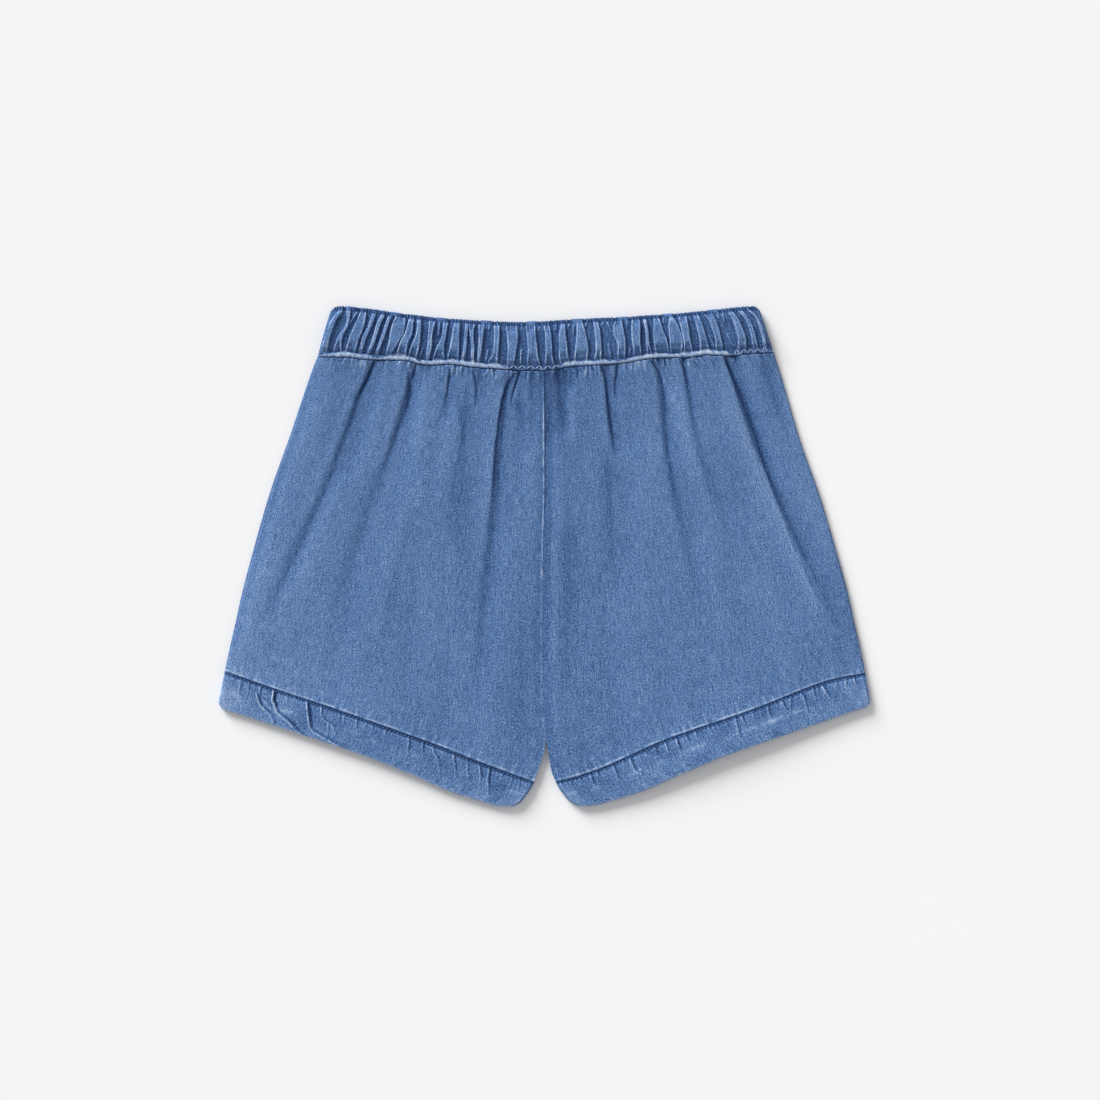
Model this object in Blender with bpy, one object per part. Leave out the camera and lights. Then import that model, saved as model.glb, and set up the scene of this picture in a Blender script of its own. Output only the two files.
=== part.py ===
"""Denim skort for a girl of about six years, laid flat on its front with its back up.

Units are metres, +Z is up and +Y runs from the hems to the waistband. The origin is below the
middle of the garment, on the surface that it lies on. Left and right are the wearer's, so left
is at -X. The tables give lengths in millimetres, as a pattern cutter writes them.
"""

from collections import namedtuple

import bmesh
import bpy
import numpy as np

MM = 0.001

# Driving dimensions, from corner to corner of the laid garment. Each corner gives its distance
# out from the middle line and its distance up from the hems' lowest point.
Half = namedtuple("Half", "name side band_top waist hem_seam hem_corner hem_toe")
LEFT = Half(
    name="left",
    side=-1,
    band_top=(129.6, 304.7),
    waist=(138.2, 276.9),
    hem_seam=(194.9, 82.3),
    hem_corner=(199.2, 60.1),
    hem_toe=(19.2, 0.0),
)
RIGHT = Half(
    name="right",
    side=1,
    band_top=(130.2, 305.3),
    waist=(139.4, 278.8),
    hem_seam=(195.5, 81.1),
    hem_corner=(199.2, 61.6),
    hem_toe=(21.7, 0.0),
)
BAND_TOP_UP = 295.8
WAIST_UP = 267.2
HEM_SEAM_UP = 14.6
MIDDLE_UP = 152.65

# Thicknesses, in millimetres. A panel thins to EDGE_SHARE of a ply over its last EDGE_ROUND.
PLY = 1.15
HEM_PLIES = 2.0
HEM_THINNEST = 0.8
BAND_PLIES = 2.5
GAP = 0.3
EDGE_SHARE = 0.5
EDGE_ROUND = 1.3

# How far a loop's ends round off, and how thick the loop is round the turn, in millimetres.
HEM_END_ROUND = 2.3
HEM_END_WALL = 1.6
BAND_END_ROUND = 2.8
BAND_END_WALL = 2.2

# How far the upper layer stands off the lower one, in millimetres. Folds vary between none and
# MOST_FOLD about MEAN_FOLD. They calm down within SEAM_CALM of a seam, and near the hem to
# HEM_CALM of their height. CREASE_POWER gives the sharpness of a fold's middle.
MEAN_FOLD = 1.1
MOST_FOLD = 2.5
FOLD_GAIN = 0.6
CREASE_POWER = 1.6
SEAM_CALM = 9.0
SIDE_FOLD_SHARE = 0.25
CENTRE_FOLD = 0.65
WAIST_LOFT = 1.3
WAIST_LOFT_REACH = 16.0
HEM_LOFT = 0.8
HEM_LOFT_REACH = 25.0
HEM_CALM = 0.25
LIFT_AT_SEAM = 0.6

# The line between the two halves: height, and place of each half's edge left or right of X = 0.
Inner = namedtuple("Inner", "up left right")
INNER_EDGE = (
    Inner(267.2, -0.3, -0.3),
    Inner(197.0, 0.0, 0.0),
    Inner(151.0, -0.9, -0.9),
    Inner(93.0, -1.5, -1.5),
    Inner(58.0, -0.6, -0.6),
    Inner(41.0, 0.6, 0.7),
    Inner(36.5, 0.3, 1.9),
    Inner(25.6, -2.7, 3.4),
    Inner(14.6, -6.4, 7.0),
)

# How far an edge bows off the straight line between its corners, going from its first corner.
Bow = namedtuple("Bow", "share left right")
SIDE_BOWS = (
    Bow(0.25, 1.9, 0.3),
    Bow(0.50, 4.3, 3.2),
    Bow(0.68, 3.8, 3.4),
    Bow(0.85, 2.0, 2.0),
)
WAIST_BOWS = (
    Bow(0.05, -0.1, -0.3),
    Bow(0.16, -0.3, 0.8),
    Bow(0.38, -0.2, 1.4),
    Bow(0.55, -1.1, 2.1),
    Bow(0.78, -0.2, 1.7),
)
BAND_TOP_BOWS = (
    Bow(0.22, -2.0, -0.3),
    Bow(0.42, -2.4, -1.0),
    Bow(0.62, -1.6, -1.0),
    Bow(0.93, 0.8, 0.1),
)
HEM_SEAM_BOWS = (
    Bow(0.12, 0.2, -1.4),
    Bow(0.38, 1.4, 2.5),
    Bow(0.62, 1.2, 2.0),
    Bow(0.84, 0.2, 3.5),
)
HEM_EDGE_BOWS = (
    Bow(0.09, -3.2, -3.0),
    Bow(0.20, -3.6, -3.9),
    Bow(0.35, -0.9, -1.6),
    Bow(0.58, 1.0, 0.4),
    Bow(0.90, 0.7, 0.2),
)
TOE_BOWS = (
    Bow(0.45, -2.0, -2.6),
    Bow(0.75, -2.6, -3.4),
)

# Folds of the back panels. Places are shares of the way from the centre seam (0) to the side
# seam (1), at the fold's start, middle and end; start and end are shares of the way from the
# waist (0) to the hem (1). Widths and heights are millimetres, and a trough is negative. Keep
# is the share of its height that a fold still has halfway. A fold fades in and out over the
# first and last shares of its own length given below.
Fold = namedtuple("Fold", "at_start at_middle at_end start end width_start width_end height keep")
FADE_IN = 0.2
FADE_OUT = 0.4
LEFT_FOLDS = (
    Fold(0.060, 0.065, 0.075, 0.00, 0.22, 5, 9, -0.9, 0.6),
    Fold(0.115, 0.130, 0.100, 0.02, 0.35, 3, 6, -0.9, 0.6),
    Fold(0.160, 0.205, 0.250, 0.00, 0.92, 5, 13, -2.3, 0.6),
    Fold(0.290, 0.290, 0.290, 0.01, 0.12, 3, 5, -0.8, 0.6),
    Fold(0.350, 0.330, 0.360, 0.02, 0.56, 6, 12, -1.1, 0.6),
    Fold(0.390, 0.400, 0.420, 0.10, 0.60, 8, 12, 0.7, 0.9),
    Fold(0.415, 0.415, 0.415, 0.01, 0.17, 3, 5, -1.1, 0.6),
    Fold(0.520, 0.505, 0.490, 0.03, 0.30, 7, 10, 0.8, 0.8),
    Fold(0.570, 0.645, 0.740, 0.00, 0.82, 5, 14, -2.0, 0.5),
    Fold(0.500, 0.530, 0.590, 0.38, 0.95, 11, 16, -0.8, 0.9),
    Fold(0.730, 0.820, 0.920, 0.25, 1.00, 10, 22, 1.2, 1.0),
    Fold(0.755, 0.835, 0.960, 0.00, 0.90, 6, 13, -2.2, 0.7),
)
RIGHT_FOLDS = (
    Fold(0.050, 0.055, 0.065, 0.00, 0.18, 6, 8, -1.2, 0.7),
    Fold(0.115, 0.118, 0.125, 0.04, 0.24, 4, 6, 0.8, 0.9),
    Fold(0.070, 0.070, 0.050, 0.36, 0.84, 11, 14, -0.8, 0.9),
    Fold(0.260, 0.268, 0.278, 0.00, 0.28, 4, 7, -1.8, 0.8),
    Fold(0.252, 0.230, 0.250, 0.24, 0.66, 9, 13, -0.8, 0.8),
    Fold(0.310, 0.305, 0.300, 0.00, 0.10, 3, 4, -1.0, 0.7),
    Fold(0.420, 0.440, 0.460, 0.20, 0.52, 12, 16, 0.6, 0.9),
    Fold(0.490, 0.480, 0.540, 0.00, 0.70, 5, 13, -1.8, 0.5),
    Fold(0.530, 0.565, 0.605, 0.06, 0.42, 8, 12, 0.9, 0.8),
    Fold(0.600, 0.605, 0.680, 0.00, 0.56, 5, 12, -1.4, 0.6),
    Fold(0.755, 0.830, 0.970, 0.02, 1.00, 7, 11, 1.2, 0.9),
    Fold(0.785, 0.865, 0.955, 0.00, 0.90, 4, 9, -2.4, 0.8),
    Fold(0.920, 0.935, 0.955, 0.02, 0.32, 7, 10, -0.9, 0.8),
)

# Gathers of the waistband's back: the middle of each ridge, in hundredths of the band's length
# from its left end, at the top edge and at the waist seam, and the ridge's breadth. A ridge's
# foot and slope are in halves of its breadth, and broader ones are higher.
Gather = namedtuple("Gather", "at_top at_seam breadth")
GATHERS = (
    Gather(1.2, 0.8, 1.5),
    Gather(3.2, 3.0, 1.0),
    Gather(6.5, 5.5, 2.5),
    Gather(9.3, 8.2, 1.1),
    Gather(11.3, 10.2, 1.1),
    Gather(13.0, 12.2, 1.1),
    Gather(15.5, 14.8, 2.6),
    Gather(18.4, 17.2, 1.5),
    Gather(20.0, 20.8, 1.1),
    Gather(23.0, 23.5, 1.5),
    Gather(26.3, 25.2, 1.1),
    Gather(28.8, 28.3, 2.0),
    Gather(31.0, 31.3, 1.0),
    Gather(32.7, 33.6, 1.4),
    Gather(35.2, 35.8, 1.0),
    Gather(38.4, 38.0, 1.3),
    Gather(42.0, 42.2, 2.3),
    Gather(46.5, 47.0, 2.0),
    Gather(50.3, 50.8, 1.1),
    Gather(54.5, 54.5, 2.8),
    Gather(57.8, 57.2, 1.1),
    Gather(59.8, 59.5, 1.2),
    Gather(62.0, 61.6, 1.2),
    Gather(64.5, 65.6, 1.3),
    Gather(67.5, 68.0, 1.0),
    Gather(70.7, 70.5, 2.0),
    Gather(73.3, 73.6, 1.1),
    Gather(75.8, 76.9, 1.5),
    Gather(79.6, 79.2, 1.0),
    Gather(81.6, 81.8, 1.3),
    Gather(85.3, 85.5, 1.5),
    Gather(87.9, 89.2, 1.5),
    Gather(93.8, 94.0, 2.4),
    Gather(96.3, 96.7, 1.0),
    Gather(98.6, 98.8, 1.0),
)
GATHER_HEIGHT = 1.8
GATHER_FOOT = 1.4
GATHER_SLOPE = 0.7
GATHER_LEAST = 0.8
GATHER_GROWTH = 0.08
GATHER_BELOW_SEAM = 0.8
GATHER_BELOW_REACH = 7.0

# Heights across the band, from its top edge (0) to the waist seam (1): how thick the casing is,
# and how much of the gathers' height shows there.
BandRow = namedtuple("BandRow", "down thickness gathers")
BAND_ROWS = (
    BandRow(0.000, 0.45, 0.10),
    BandRow(0.030, 0.90, 0.35),
    BandRow(0.075, 1.05, 0.40),
    BandRow(0.115, 0.95, 0.45),
    BandRow(0.240, 1.05, 1.00),
    BandRow(0.550, 1.10, 1.00),
    BandRow(0.820, 1.00, 0.85),
    BandRow(0.885, 0.80, 0.35),
    BandRow(0.925, 1.10, 0.10),
    BandRow(0.970, 1.10, 0.05),
    BandRow(1.000, 0.70, 0.00),
)

# Heights across a hem, from its seam (0) to its edge (1), and how much of the puckers shows.
HemRow = namedtuple("HemRow", "down thickness puckers")
HEM_ROWS = (
    HemRow(0.00, 0.70, 0.30),
    HemRow(0.09, 0.90, 1.00),
    HemRow(0.34, 1.00, 0.55),
    HemRow(0.68, 1.00, 0.45),
    HemRow(0.86, 1.00, 0.60),
    HemRow(0.96, 0.85, 0.60),
    HemRow(1.00, 0.50, 0.30),
)
PUCKER_PITCH = 6.1
PUCKER_HEIGHT = 0.75
PUCKER_LEAN = 0.22
PUCKER_SWAY = ((0.35, 17.0), (0.20, 41.0))
HEM_LIFT = {"left": 1.1, "right": 2.4}

# Slanting creases that cross the left hem near its side, placed as the folds above, with their
# start and end as shares of the way from the hem's seam to its edge.
HEM_CREASES = {
    "left": (
        Fold(0.730, 0.680, 0.620, 0.00, 1.00, 3.5, 4.5, -0.7, 0.9),
        Fold(0.845, 0.790, 0.710, 0.00, 1.05, 3.5, 4.5, -1.2, 1.0),
        Fold(0.890, 0.870, 0.820, 0.00, 0.85, 3.0, 4.0, -0.8, 0.9),
    ),
    "right": (),
}

# Grids. ROW_GROWTH sets the panels' rows closer together near the waist.
PANEL_COLUMNS = 60
PANEL_ROWS = 24
ROW_GROWTH = 1.15
HEM_COLUMNS = 64
BAND_COLUMNS = 150
FLAT_COLUMNS = 30
ROUND_STEPS = 4

DENIM = (0.105, 0.195, 0.395)
DENIM_FADED = (0.135, 0.235, 0.445)
DENIM_ROUGHNESS = 0.85
SHARP_ANGLE = np.radians(50.0)


def clear_scene():
    """Remove whatever the scene holds."""
    for old in list(bpy.data.objects):
        bpy.data.objects.remove(old, do_unlink=True)


def smooth_step(value):
    """Rise softly from 0 to 1 while value goes from 0 to 1."""
    value = np.clip(value, 0.0, 1.0)
    return value * value * (3.0 - 2.0 * value)


def smooth_table(places, values, at):
    """Read a table between its rows along a soft curve that never overshoots them."""
    places = np.asarray(places, float)
    values = np.asarray(values, float)
    secants = np.diff(values) / np.diff(places)
    slopes = np.zeros_like(values)
    slopes[0], slopes[-1] = secants[0], secants[-1]
    same_way = secants[:-1] * secants[1:] > 0.0
    slopes[1:-1] = np.where(same_way, np.minimum(abs(secants[:-1]), abs(secants[1:])), 0.0)
    slopes[1:-1] *= np.sign(secants[1:])
    row = np.clip(np.searchsorted(places, at) - 1, 0, len(places) - 2)
    span = places[row + 1] - places[row]
    share = np.clip((at - places[row]) / span, 0.0, 1.0)
    rise = smooth_step(share)
    start = values[row] + slopes[row] * span * share
    end = values[row + 1] - slopes[row + 1] * span * (1.0 - share)
    return start * (1.0 - rise) + end * rise


def bowed_edge(start, end, bows, half, share, upwards):
    """Points along the line from start to end, bowed up or outwards by the table."""
    places = [0.0] + [row.share for row in bows] + [1.0]
    offsets = [0.0] + [getattr(row, half.name) for row in bows] + [0.0]
    bow = smooth_table(places, offsets, share)
    out = start[0] + (end[0] - start[0]) * share
    up = start[1] + (end[1] - start[1]) * share
    if upwards:
        return np.stack([out, up + bow], -1)
    return np.stack([out + bow, up], -1)


def inner_corner(half, up):
    """Distance of a half's inner edge from the middle line, at a height."""
    heights = [-row.up for row in INNER_EDGE]
    places = [half.side * getattr(row, half.name) for row in INNER_EDGE]
    return smooth_table(heights, places, -np.asarray(up, float)) + GAP / 2


def coons(out_share, down_share, top, bottom, inner, outer):
    """Fill the space between four edges: out runs along top and bottom, down along the others."""
    u = out_share[..., None]
    v = down_share[..., None]
    ends = np.array([0.0, 1.0])
    corners = np.array([top(ends), bottom(ends)])
    blend = (1 - v) * top(out_share) + v * bottom(out_share)
    blend = blend + (1 - u) * inner(down_share) + u * outer(down_share)
    flat = (1 - v) * ((1 - u) * corners[0, 0] + u * corners[0, 1])
    flat = flat + v * ((1 - u) * corners[1, 0] + u * corners[1, 1])
    return blend - flat


def panel_plan(half, out_share, down_share):
    """Plan position of points on a leg panel, from centre seam to side and waist to hem seam."""
    waist_inner = (inner_corner(half, WAIST_UP).item(), WAIST_UP)
    hem_inner = (inner_corner(half, HEM_SEAM_UP).item(), HEM_SEAM_UP)

    def top(share):
        return bowed_edge(waist_inner, half.waist, WAIST_BOWS, half, share, True)

    def bottom(share):
        return bowed_edge(hem_inner, half.hem_seam, HEM_SEAM_BOWS, half, share, True)

    def inner(share):
        up = WAIST_UP + (HEM_SEAM_UP - WAIST_UP) * share
        return np.stack([inner_corner(half, up), up], -1)

    def outer(share):
        return bowed_edge(half.waist, half.hem_seam, SIDE_BOWS, half, share, False)

    return coons(out_share, down_share, top, bottom, inner, outer)


def hem_plan(half, out_share, down_share):
    """Plan position of points on a hem, from its toe to the side and from its seam to its edge."""
    seam_inner = (inner_corner(half, HEM_SEAM_UP).item(), HEM_SEAM_UP)

    def top(share):
        return bowed_edge(seam_inner, half.hem_seam, HEM_SEAM_BOWS, half, share, True)

    def bottom(share):
        return bowed_edge(half.hem_toe, half.hem_corner, HEM_EDGE_BOWS, half, share, True)

    def inner(share):
        return bowed_edge(seam_inner, half.hem_toe, TOE_BOWS, half, share, False)

    def outer(share):
        return bowed_edge(half.hem_seam, half.hem_corner, (), half, share, False)

    depth = half.hem_seam[1] - half.hem_corner[1]
    start = GAP / depth
    return coons(out_share, start + (1.0 - start) * down_share, top, bottom, inner, outer)


def band_plan(along, down):
    """Plan position of points on the waistband, from its left end (0) to its right end (1)."""
    pieces = []
    for half in (LEFT, RIGHT):
        share = np.clip(half.side * (2.0 * along - 1.0), 0.0, 1.0)

        def top(out, half=half):
            start = (0.0, BAND_TOP_UP)
            return bowed_edge(start, half.band_top, BAND_TOP_BOWS, half, out, True)

        def bottom(out, half=half):
            start = (0.0, WAIST_UP)
            return bowed_edge(start, half.waist, WAIST_BOWS, half, out, True)

        stop = 1.0 - GAP / (BAND_TOP_UP - WAIST_UP)
        depth = (stop * down)[..., None]
        place = (1.0 - depth) * top(share) + depth * bottom(share)
        pieces.append(place * np.array([half.side, 1.0]))
    return np.where((along < 0.5)[..., None], pieces[0], pieces[1])


def fold_relief(folds, out_share, down_share, breadth):
    """Sum of a panel's troughs and ridges, each on its own slanting path."""
    relief = np.zeros_like(out_share)
    for fold in folds:
        along = np.clip((down_share - fold.start) / (fold.end - fold.start), 0.0, 1.0)
        place = fold.at_start * (1 - along) * (1 - 2 * along)
        place = place + fold.at_middle * 4 * along * (1 - along)
        place = place + fold.at_end * along * (2 * along - 1)
        width = fold.width_start + (fold.width_end - fold.width_start) * along
        starts = 1.0 if fold.start == 0.0 else smooth_step(along / FADE_IN)
        strength = starts * smooth_step((1.0 - along) / FADE_OUT)
        strength = strength * (1.0 - (1.0 - fold.keep) * smooth_step(2.0 * along))
        distance = (out_share - place) * breadth / width
        relief = relief + fold.height * strength * np.exp(-np.abs(distance) ** CREASE_POWER)
    return relief


def gather_ridges(along, down):
    """Height of the waistband's gathers, from 0 in a groove to 1 on a broad ridge."""
    percent = along * 100.0
    height = np.zeros_like(percent)
    for gather in GATHERS:
        middle = gather.at_top + (gather.at_seam - gather.at_top) * down
        distance = np.abs(percent - middle) / (gather.breadth / 2)
        top = GATHER_LEAST + GATHER_GROWTH * gather.breadth
        height = np.maximum(height, top * smooth_step((GATHER_FOOT - distance) / GATHER_SLOPE))
    return height


def leg_lift(half, out_share):
    """How far the upper layer of a leg stands up at its hem, most near the middle."""
    return HEM_LIFT[half.name] * np.sin(np.pi * np.clip(out_share, 0.0, 1.0)) ** 2


def back_underside(half, folds, out_share, down_share):
    """Height of a back panel's underside above the surface."""
    breadth = panel_breadth(half, down_share)
    length = WAIST_UP - HEM_SEAM_UP
    relief = MEAN_FOLD + fold_relief(folds, out_share, down_share, breadth)
    relief = MOST_FOLD * smooth_step(0.5 + (relief / MOST_FOLD - 0.5) * FOLD_GAIN)
    to_side = (1.0 - out_share) * breadth / SEAM_CALM
    relief = relief * smooth_step(SIDE_FOLD_SHARE + (1.0 - SIDE_FOLD_SHARE) * to_side)
    calm = smooth_step(out_share * breadth / SEAM_CALM)
    relief = relief * calm + CENTRE_FOLD * (1.0 - calm)
    from_waist = down_share * length
    from_hem = (1.0 - down_share) * length
    near_hem = np.exp(-from_hem / HEM_LOFT_REACH)
    loft = WAIST_LOFT * np.exp(-from_waist / WAIST_LOFT_REACH)
    loft = loft + (HEM_LOFT + LIFT_AT_SEAM * leg_lift(half, out_share)) * near_hem
    relief = relief * (1.0 - (1.0 - HEM_CALM) * near_hem)
    return PLY + GAP + relief + loft


def lowest_near(heights):
    """The lowest of each second grid point and its neighbours, so that a wall over it is whole."""
    rows, columns = heights.shape
    padded = np.pad(heights, 1, mode="edge")
    lowest = heights
    for row in range(3):
        for column in range(3):
            lowest = np.minimum(lowest, padded[row:row + rows, column:column + columns])
    return lowest[::2, ::2]


def panel_breadth(half, down_share):
    """Breadth of a leg panel at a share of the way down."""
    return half.waist[0] + (half.hem_seam[0] - half.waist[0]) * down_share


def edge_thickness(out_share, down_share, breadth, length):
    """Share of a ply's thickness left near a panel's edges, where its corners are rounded."""
    nearest = np.minimum(out_share, 1.0 - out_share) * breadth
    nearest = np.minimum(nearest, np.minimum(down_share, 1.0 - down_share) * length)
    return EDGE_SHARE + (1.0 - EDGE_SHARE) * smooth_step(nearest / EDGE_ROUND)


def graded(count, edge_share):
    """Grid shares from 0 to 1 in count steps, the first and last of them narrow."""
    inside = np.linspace(edge_share, 1.0 - edge_share, count - 1)
    return np.concatenate([[0.0], inside, [1.0]])


def new_material(name, colour):
    """A matt denim material."""
    material = bpy.data.materials.new(name)
    material.use_nodes = True
    shader = material.node_tree.nodes["Principled BSDF"]
    shader.inputs["Base Color"].default_value = (*colour, 1.0)
    shader.inputs["Roughness"].default_value = DENIM_ROUGHNESS
    shader.inputs["Metallic"].default_value = 0.0
    return material


def add_object(name, points, faces, colour):
    """Make a closed mesh object from points in millimetres, given up from the hems."""
    mesh = bpy.data.meshes.new(name)
    placed = (points - (0.0, MIDDLE_UP, 0.0)) * MM
    mesh.from_pydata([tuple(point) for point in placed], [], faces)
    shape = bmesh.new()
    shape.from_mesh(mesh)
    bmesh.ops.recalc_face_normals(shape, faces=shape.faces[:])
    shape.to_mesh(mesh)
    shape.free()
    mesh.materials.append(new_material(name + "_denim", colour))
    mesh.shade_smooth()
    mesh.set_sharp_from_angle(angle=SHARP_ANGLE)
    piece = bpy.data.objects.new(name, mesh)
    bpy.context.scene.collection.objects.link(piece)
    return piece


def rim_indices(rows, columns, first):
    """Point numbers round a grid's rim."""
    ids = first + np.arange(rows * columns).reshape(rows, columns)
    rim = [*ids[0, :-1], *ids[:-1, -1], *ids[-1, :0:-1], *ids[:0:-1, 0]]
    return [int(index) for index in rim]


def grid_faces(rows, columns, first):
    """Four-sided faces of a grid of points."""
    faces = []
    for row in range(rows - 1):
        for column in range(columns - 1):
            corner = first + row * columns + column
            faces.append((corner, corner + 1, corner + columns + 1, corner + columns))
    return faces


def sheet_solid(name, outer, inner, colour):
    """Close a wall between a fine outer grid and an inner grid of every second point."""
    rows, columns = outer.shape[:2]
    inner_rows, inner_columns = inner.shape[:2]
    first_inner = rows * columns
    points = np.concatenate([outer.reshape(-1, 3), inner.reshape(-1, 3)])
    faces = grid_faces(rows, columns, 0)
    faces += grid_faces(inner_rows, inner_columns, first_inner)
    outer_rim = rim_indices(rows, columns, 0)
    inner_rim = rim_indices(inner_rows, inner_columns, first_inner)
    for step, low in enumerate(inner_rim):
        next_low = inner_rim[(step + 1) % len(inner_rim)]
        left, middle = outer_rim[2 * step], outer_rim[2 * step + 1]
        right = outer_rim[(2 * step + 2) % len(outer_rim)]
        faces += [(left, middle, low), (middle, next_low, low), (middle, right, next_low)]
    return add_object(name, points, faces, colour)


def ring_solid(name, outer, inner, colour):
    """Close a wall between an outer ring of several rows and an inner ring of two."""
    rows, columns = outer.shape[:2]
    first_inner = rows * columns
    points = np.concatenate([outer.reshape(-1, 3), inner.reshape(-1, 3)])
    last_row = (rows - 1) * columns
    strips = [(row * columns, (row + 1) * columns) for row in range(rows - 1)]
    strips += [(first_inner, first_inner + columns)]
    strips += [(0, first_inner), (last_row, first_inner + columns)]
    faces = []
    for near, far in strips:
        for column in range(columns):
            onward = (column + 1) % columns
            faces.append((near + column, near + onward, far + onward, far + column))
    return add_object(name, points, faces, colour)


def ring_grid(plan, rows_down, back_shares, round_share, wall_share, top, slot_back, slot_front):
    """Outer and inner points of a flattened loop.

    The loop runs along its back, round its end, along its front on the surface and round its
    other end. top gives the height of its back, the slot heights those of the gap inside it.
    """
    turn = np.linspace(0.0, np.pi, ROUND_STEPS + 2)[1:-1]
    front_shares = np.linspace(1.0 - round_share, round_share, FLAT_COLUMNS + 1)
    outer_along = np.concatenate([
        back_shares,
        1.0 - round_share * (1.0 - np.sin(turn)),
        front_shares,
        round_share * (1.0 - np.sin(turn)),
    ])
    inset = round_share - wall_share
    inner_along = np.concatenate([
        back_shares,
        1.0 - round_share + inset * np.sin(turn),
        front_shares,
        round_share - inset * np.sin(turn),
    ])
    back = len(back_shares)
    along, down = np.meshgrid(outer_along, rows_down)
    inner_places = np.meshgrid(inner_along, rows_down)[0]
    outer_height = np.zeros_like(along)
    outer_height[:, :back] = top(along[:, :back], down[:, :back])
    inner_height = np.full_like(along, slot_front)
    inner_height[:, :back] = slot_back(along[:, :back], down[:, :back])
    front_start = back + ROUND_STEPS
    last = front_start + FLAT_COLUMNS + 1
    rise = 0.5 * (1.0 + np.cos(turn))
    for heights in (outer_height, inner_height):
        below = heights[:, front_start][:, None]
        heights[:, back:front_start] = below + (heights[:, back - 1][:, None] - below) * rise
        heights[:, last:] = below + (heights[:, 0][:, None] - below) * rise[::-1]
    outer = np.concatenate([plan(along, down), outer_height[..., None]], -1)
    inner = np.concatenate([plan(inner_places, down), inner_height[..., None]], -1)
    return outer, inner[[0, -1]]


def make_back_panel(half, folds):
    """One back leg panel: an uneven sheet over the front one."""
    length = WAIST_UP - HEM_SEAM_UP
    out_shares = graded(PANEL_COLUMNS, EDGE_ROUND / half.hem_seam[0])
    down_shares = graded(PANEL_ROWS, EDGE_ROUND / length) ** ROW_GROWTH
    out_share, down_share = np.meshgrid(out_shares, down_shares)
    breadth = panel_breadth(half, down_share)
    plan = panel_plan(half, out_share, down_share)
    under = back_underside(half, folds, out_share, down_share)
    along = 0.5 + half.side * 0.5 * out_share
    gathers = gather_ridges(along, np.ones_like(along))
    fade = np.exp(-down_share * length / GATHER_BELOW_REACH)
    thick = PLY * edge_thickness(out_share, down_share, breadth, length)
    upper = under + thick + GATHER_BELOW_SEAM * gathers * fade
    side = np.array([half.side, 1.0])
    outer = np.concatenate([plan * side, upper[..., None]], -1)
    inner = np.concatenate([(plan * side)[::2, ::2], lowest_near(under)[..., None]], -1)
    return sheet_solid("back_" + half.name, outer, inner, DENIM_FADED)


def make_front_panel(half):
    """One front leg panel, flat on the surface that the garment lies on."""
    out_share, down_share = np.meshgrid(
        np.linspace(0.0, 1.0, FLAT_COLUMNS + 1),
        np.linspace(0.0, 1.0, PANEL_ROWS + 1),
    )
    plan = panel_plan(half, out_share, down_share) * np.array([half.side, 1.0])
    level = np.zeros(plan.shape[:2] + (1,))
    outer = np.concatenate([plan, level], -1)
    inner = np.concatenate([plan, level + PLY], -1)[::2, ::2]
    return sheet_solid("front_" + half.name, outer, inner, DENIM)


def make_hem(half):
    """One leg's turned hem: three plies folded up, a flattened loop round the leg."""
    length = half.hem_corner[0] - half.hem_toe[0]
    round_share = HEM_END_ROUND / length
    rows = [row.down for row in HEM_ROWS]
    thickness = [row.thickness * HEM_PLIES for row in HEM_ROWS]
    pucker_share = [row.puckers * PUCKER_HEIGHT for row in HEM_ROWS]
    back_shares = np.linspace(round_share, 1.0 - round_share, HEM_COLUMNS + 1)
    low_side = HEM_PLIES + GAP

    def slot_back(along, down):
        return low_side + leg_lift(half, along) * (LIFT_AT_SEAM + (1.0 - LIFT_AT_SEAM) * down)

    def top(along, down):
        phase = along * length / PUCKER_PITCH + PUCKER_LEAN * half.side * down
        for sway, turns in PUCKER_SWAY:
            phase = phase + sway * np.sin(along * turns)
        pucker = 0.5 + 0.5 * np.sin(2 * np.pi * phase)
        wall = np.interp(down, rows, thickness) + np.interp(down, rows, pucker_share) * pucker
        wall = wall + fold_relief(HEM_CREASES[half.name], along, down, length)
        return slot_back(along, down) + np.maximum(wall, HEM_THINNEST)

    def plan(along, down):
        return hem_plan(half, along, down) * np.array([half.side, 1.0])

    wall_share = HEM_END_WALL / length
    outer, inner = ring_grid(
        plan, rows, back_shares, round_share, wall_share, top, slot_back, HEM_PLIES
    )
    return ring_solid("hem_" + half.name, outer, inner, DENIM)


def make_waistband():
    """The elasticated casing: one flattened loop, gathered along its back."""
    length = LEFT.band_top[0] + RIGHT.band_top[0]
    round_share = BAND_END_ROUND / length
    wall_share = BAND_END_WALL / length
    rows = [row.down for row in BAND_ROWS]
    thickness = [row.thickness * BAND_PLIES for row in BAND_ROWS]
    gather_share = [row.gathers * GATHER_HEIGHT for row in BAND_ROWS]
    back_shares = np.linspace(round_share, 1.0 - round_share, BAND_COLUMNS + 1)

    def slot_back(along, down):
        return np.full_like(along, BAND_PLIES + GAP)

    def top(along, down):
        wall = np.interp(down, rows, thickness)
        ridges = np.interp(down, rows, gather_share) * gather_ridges(along, down)
        return slot_back(along, down) + wall + ridges

    outer, inner = ring_grid(
        band_plan, rows, back_shares, round_share, wall_share, top, slot_back, BAND_PLIES
    )
    return ring_solid("waistband", outer, inner, DENIM)


def main():
    clear_scene()
    for half, folds in ((LEFT, LEFT_FOLDS), (RIGHT, RIGHT_FOLDS)):
        make_back_panel(half, folds)
        make_front_panel(half)
        make_hem(half)
    make_waistband()


main()
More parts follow.
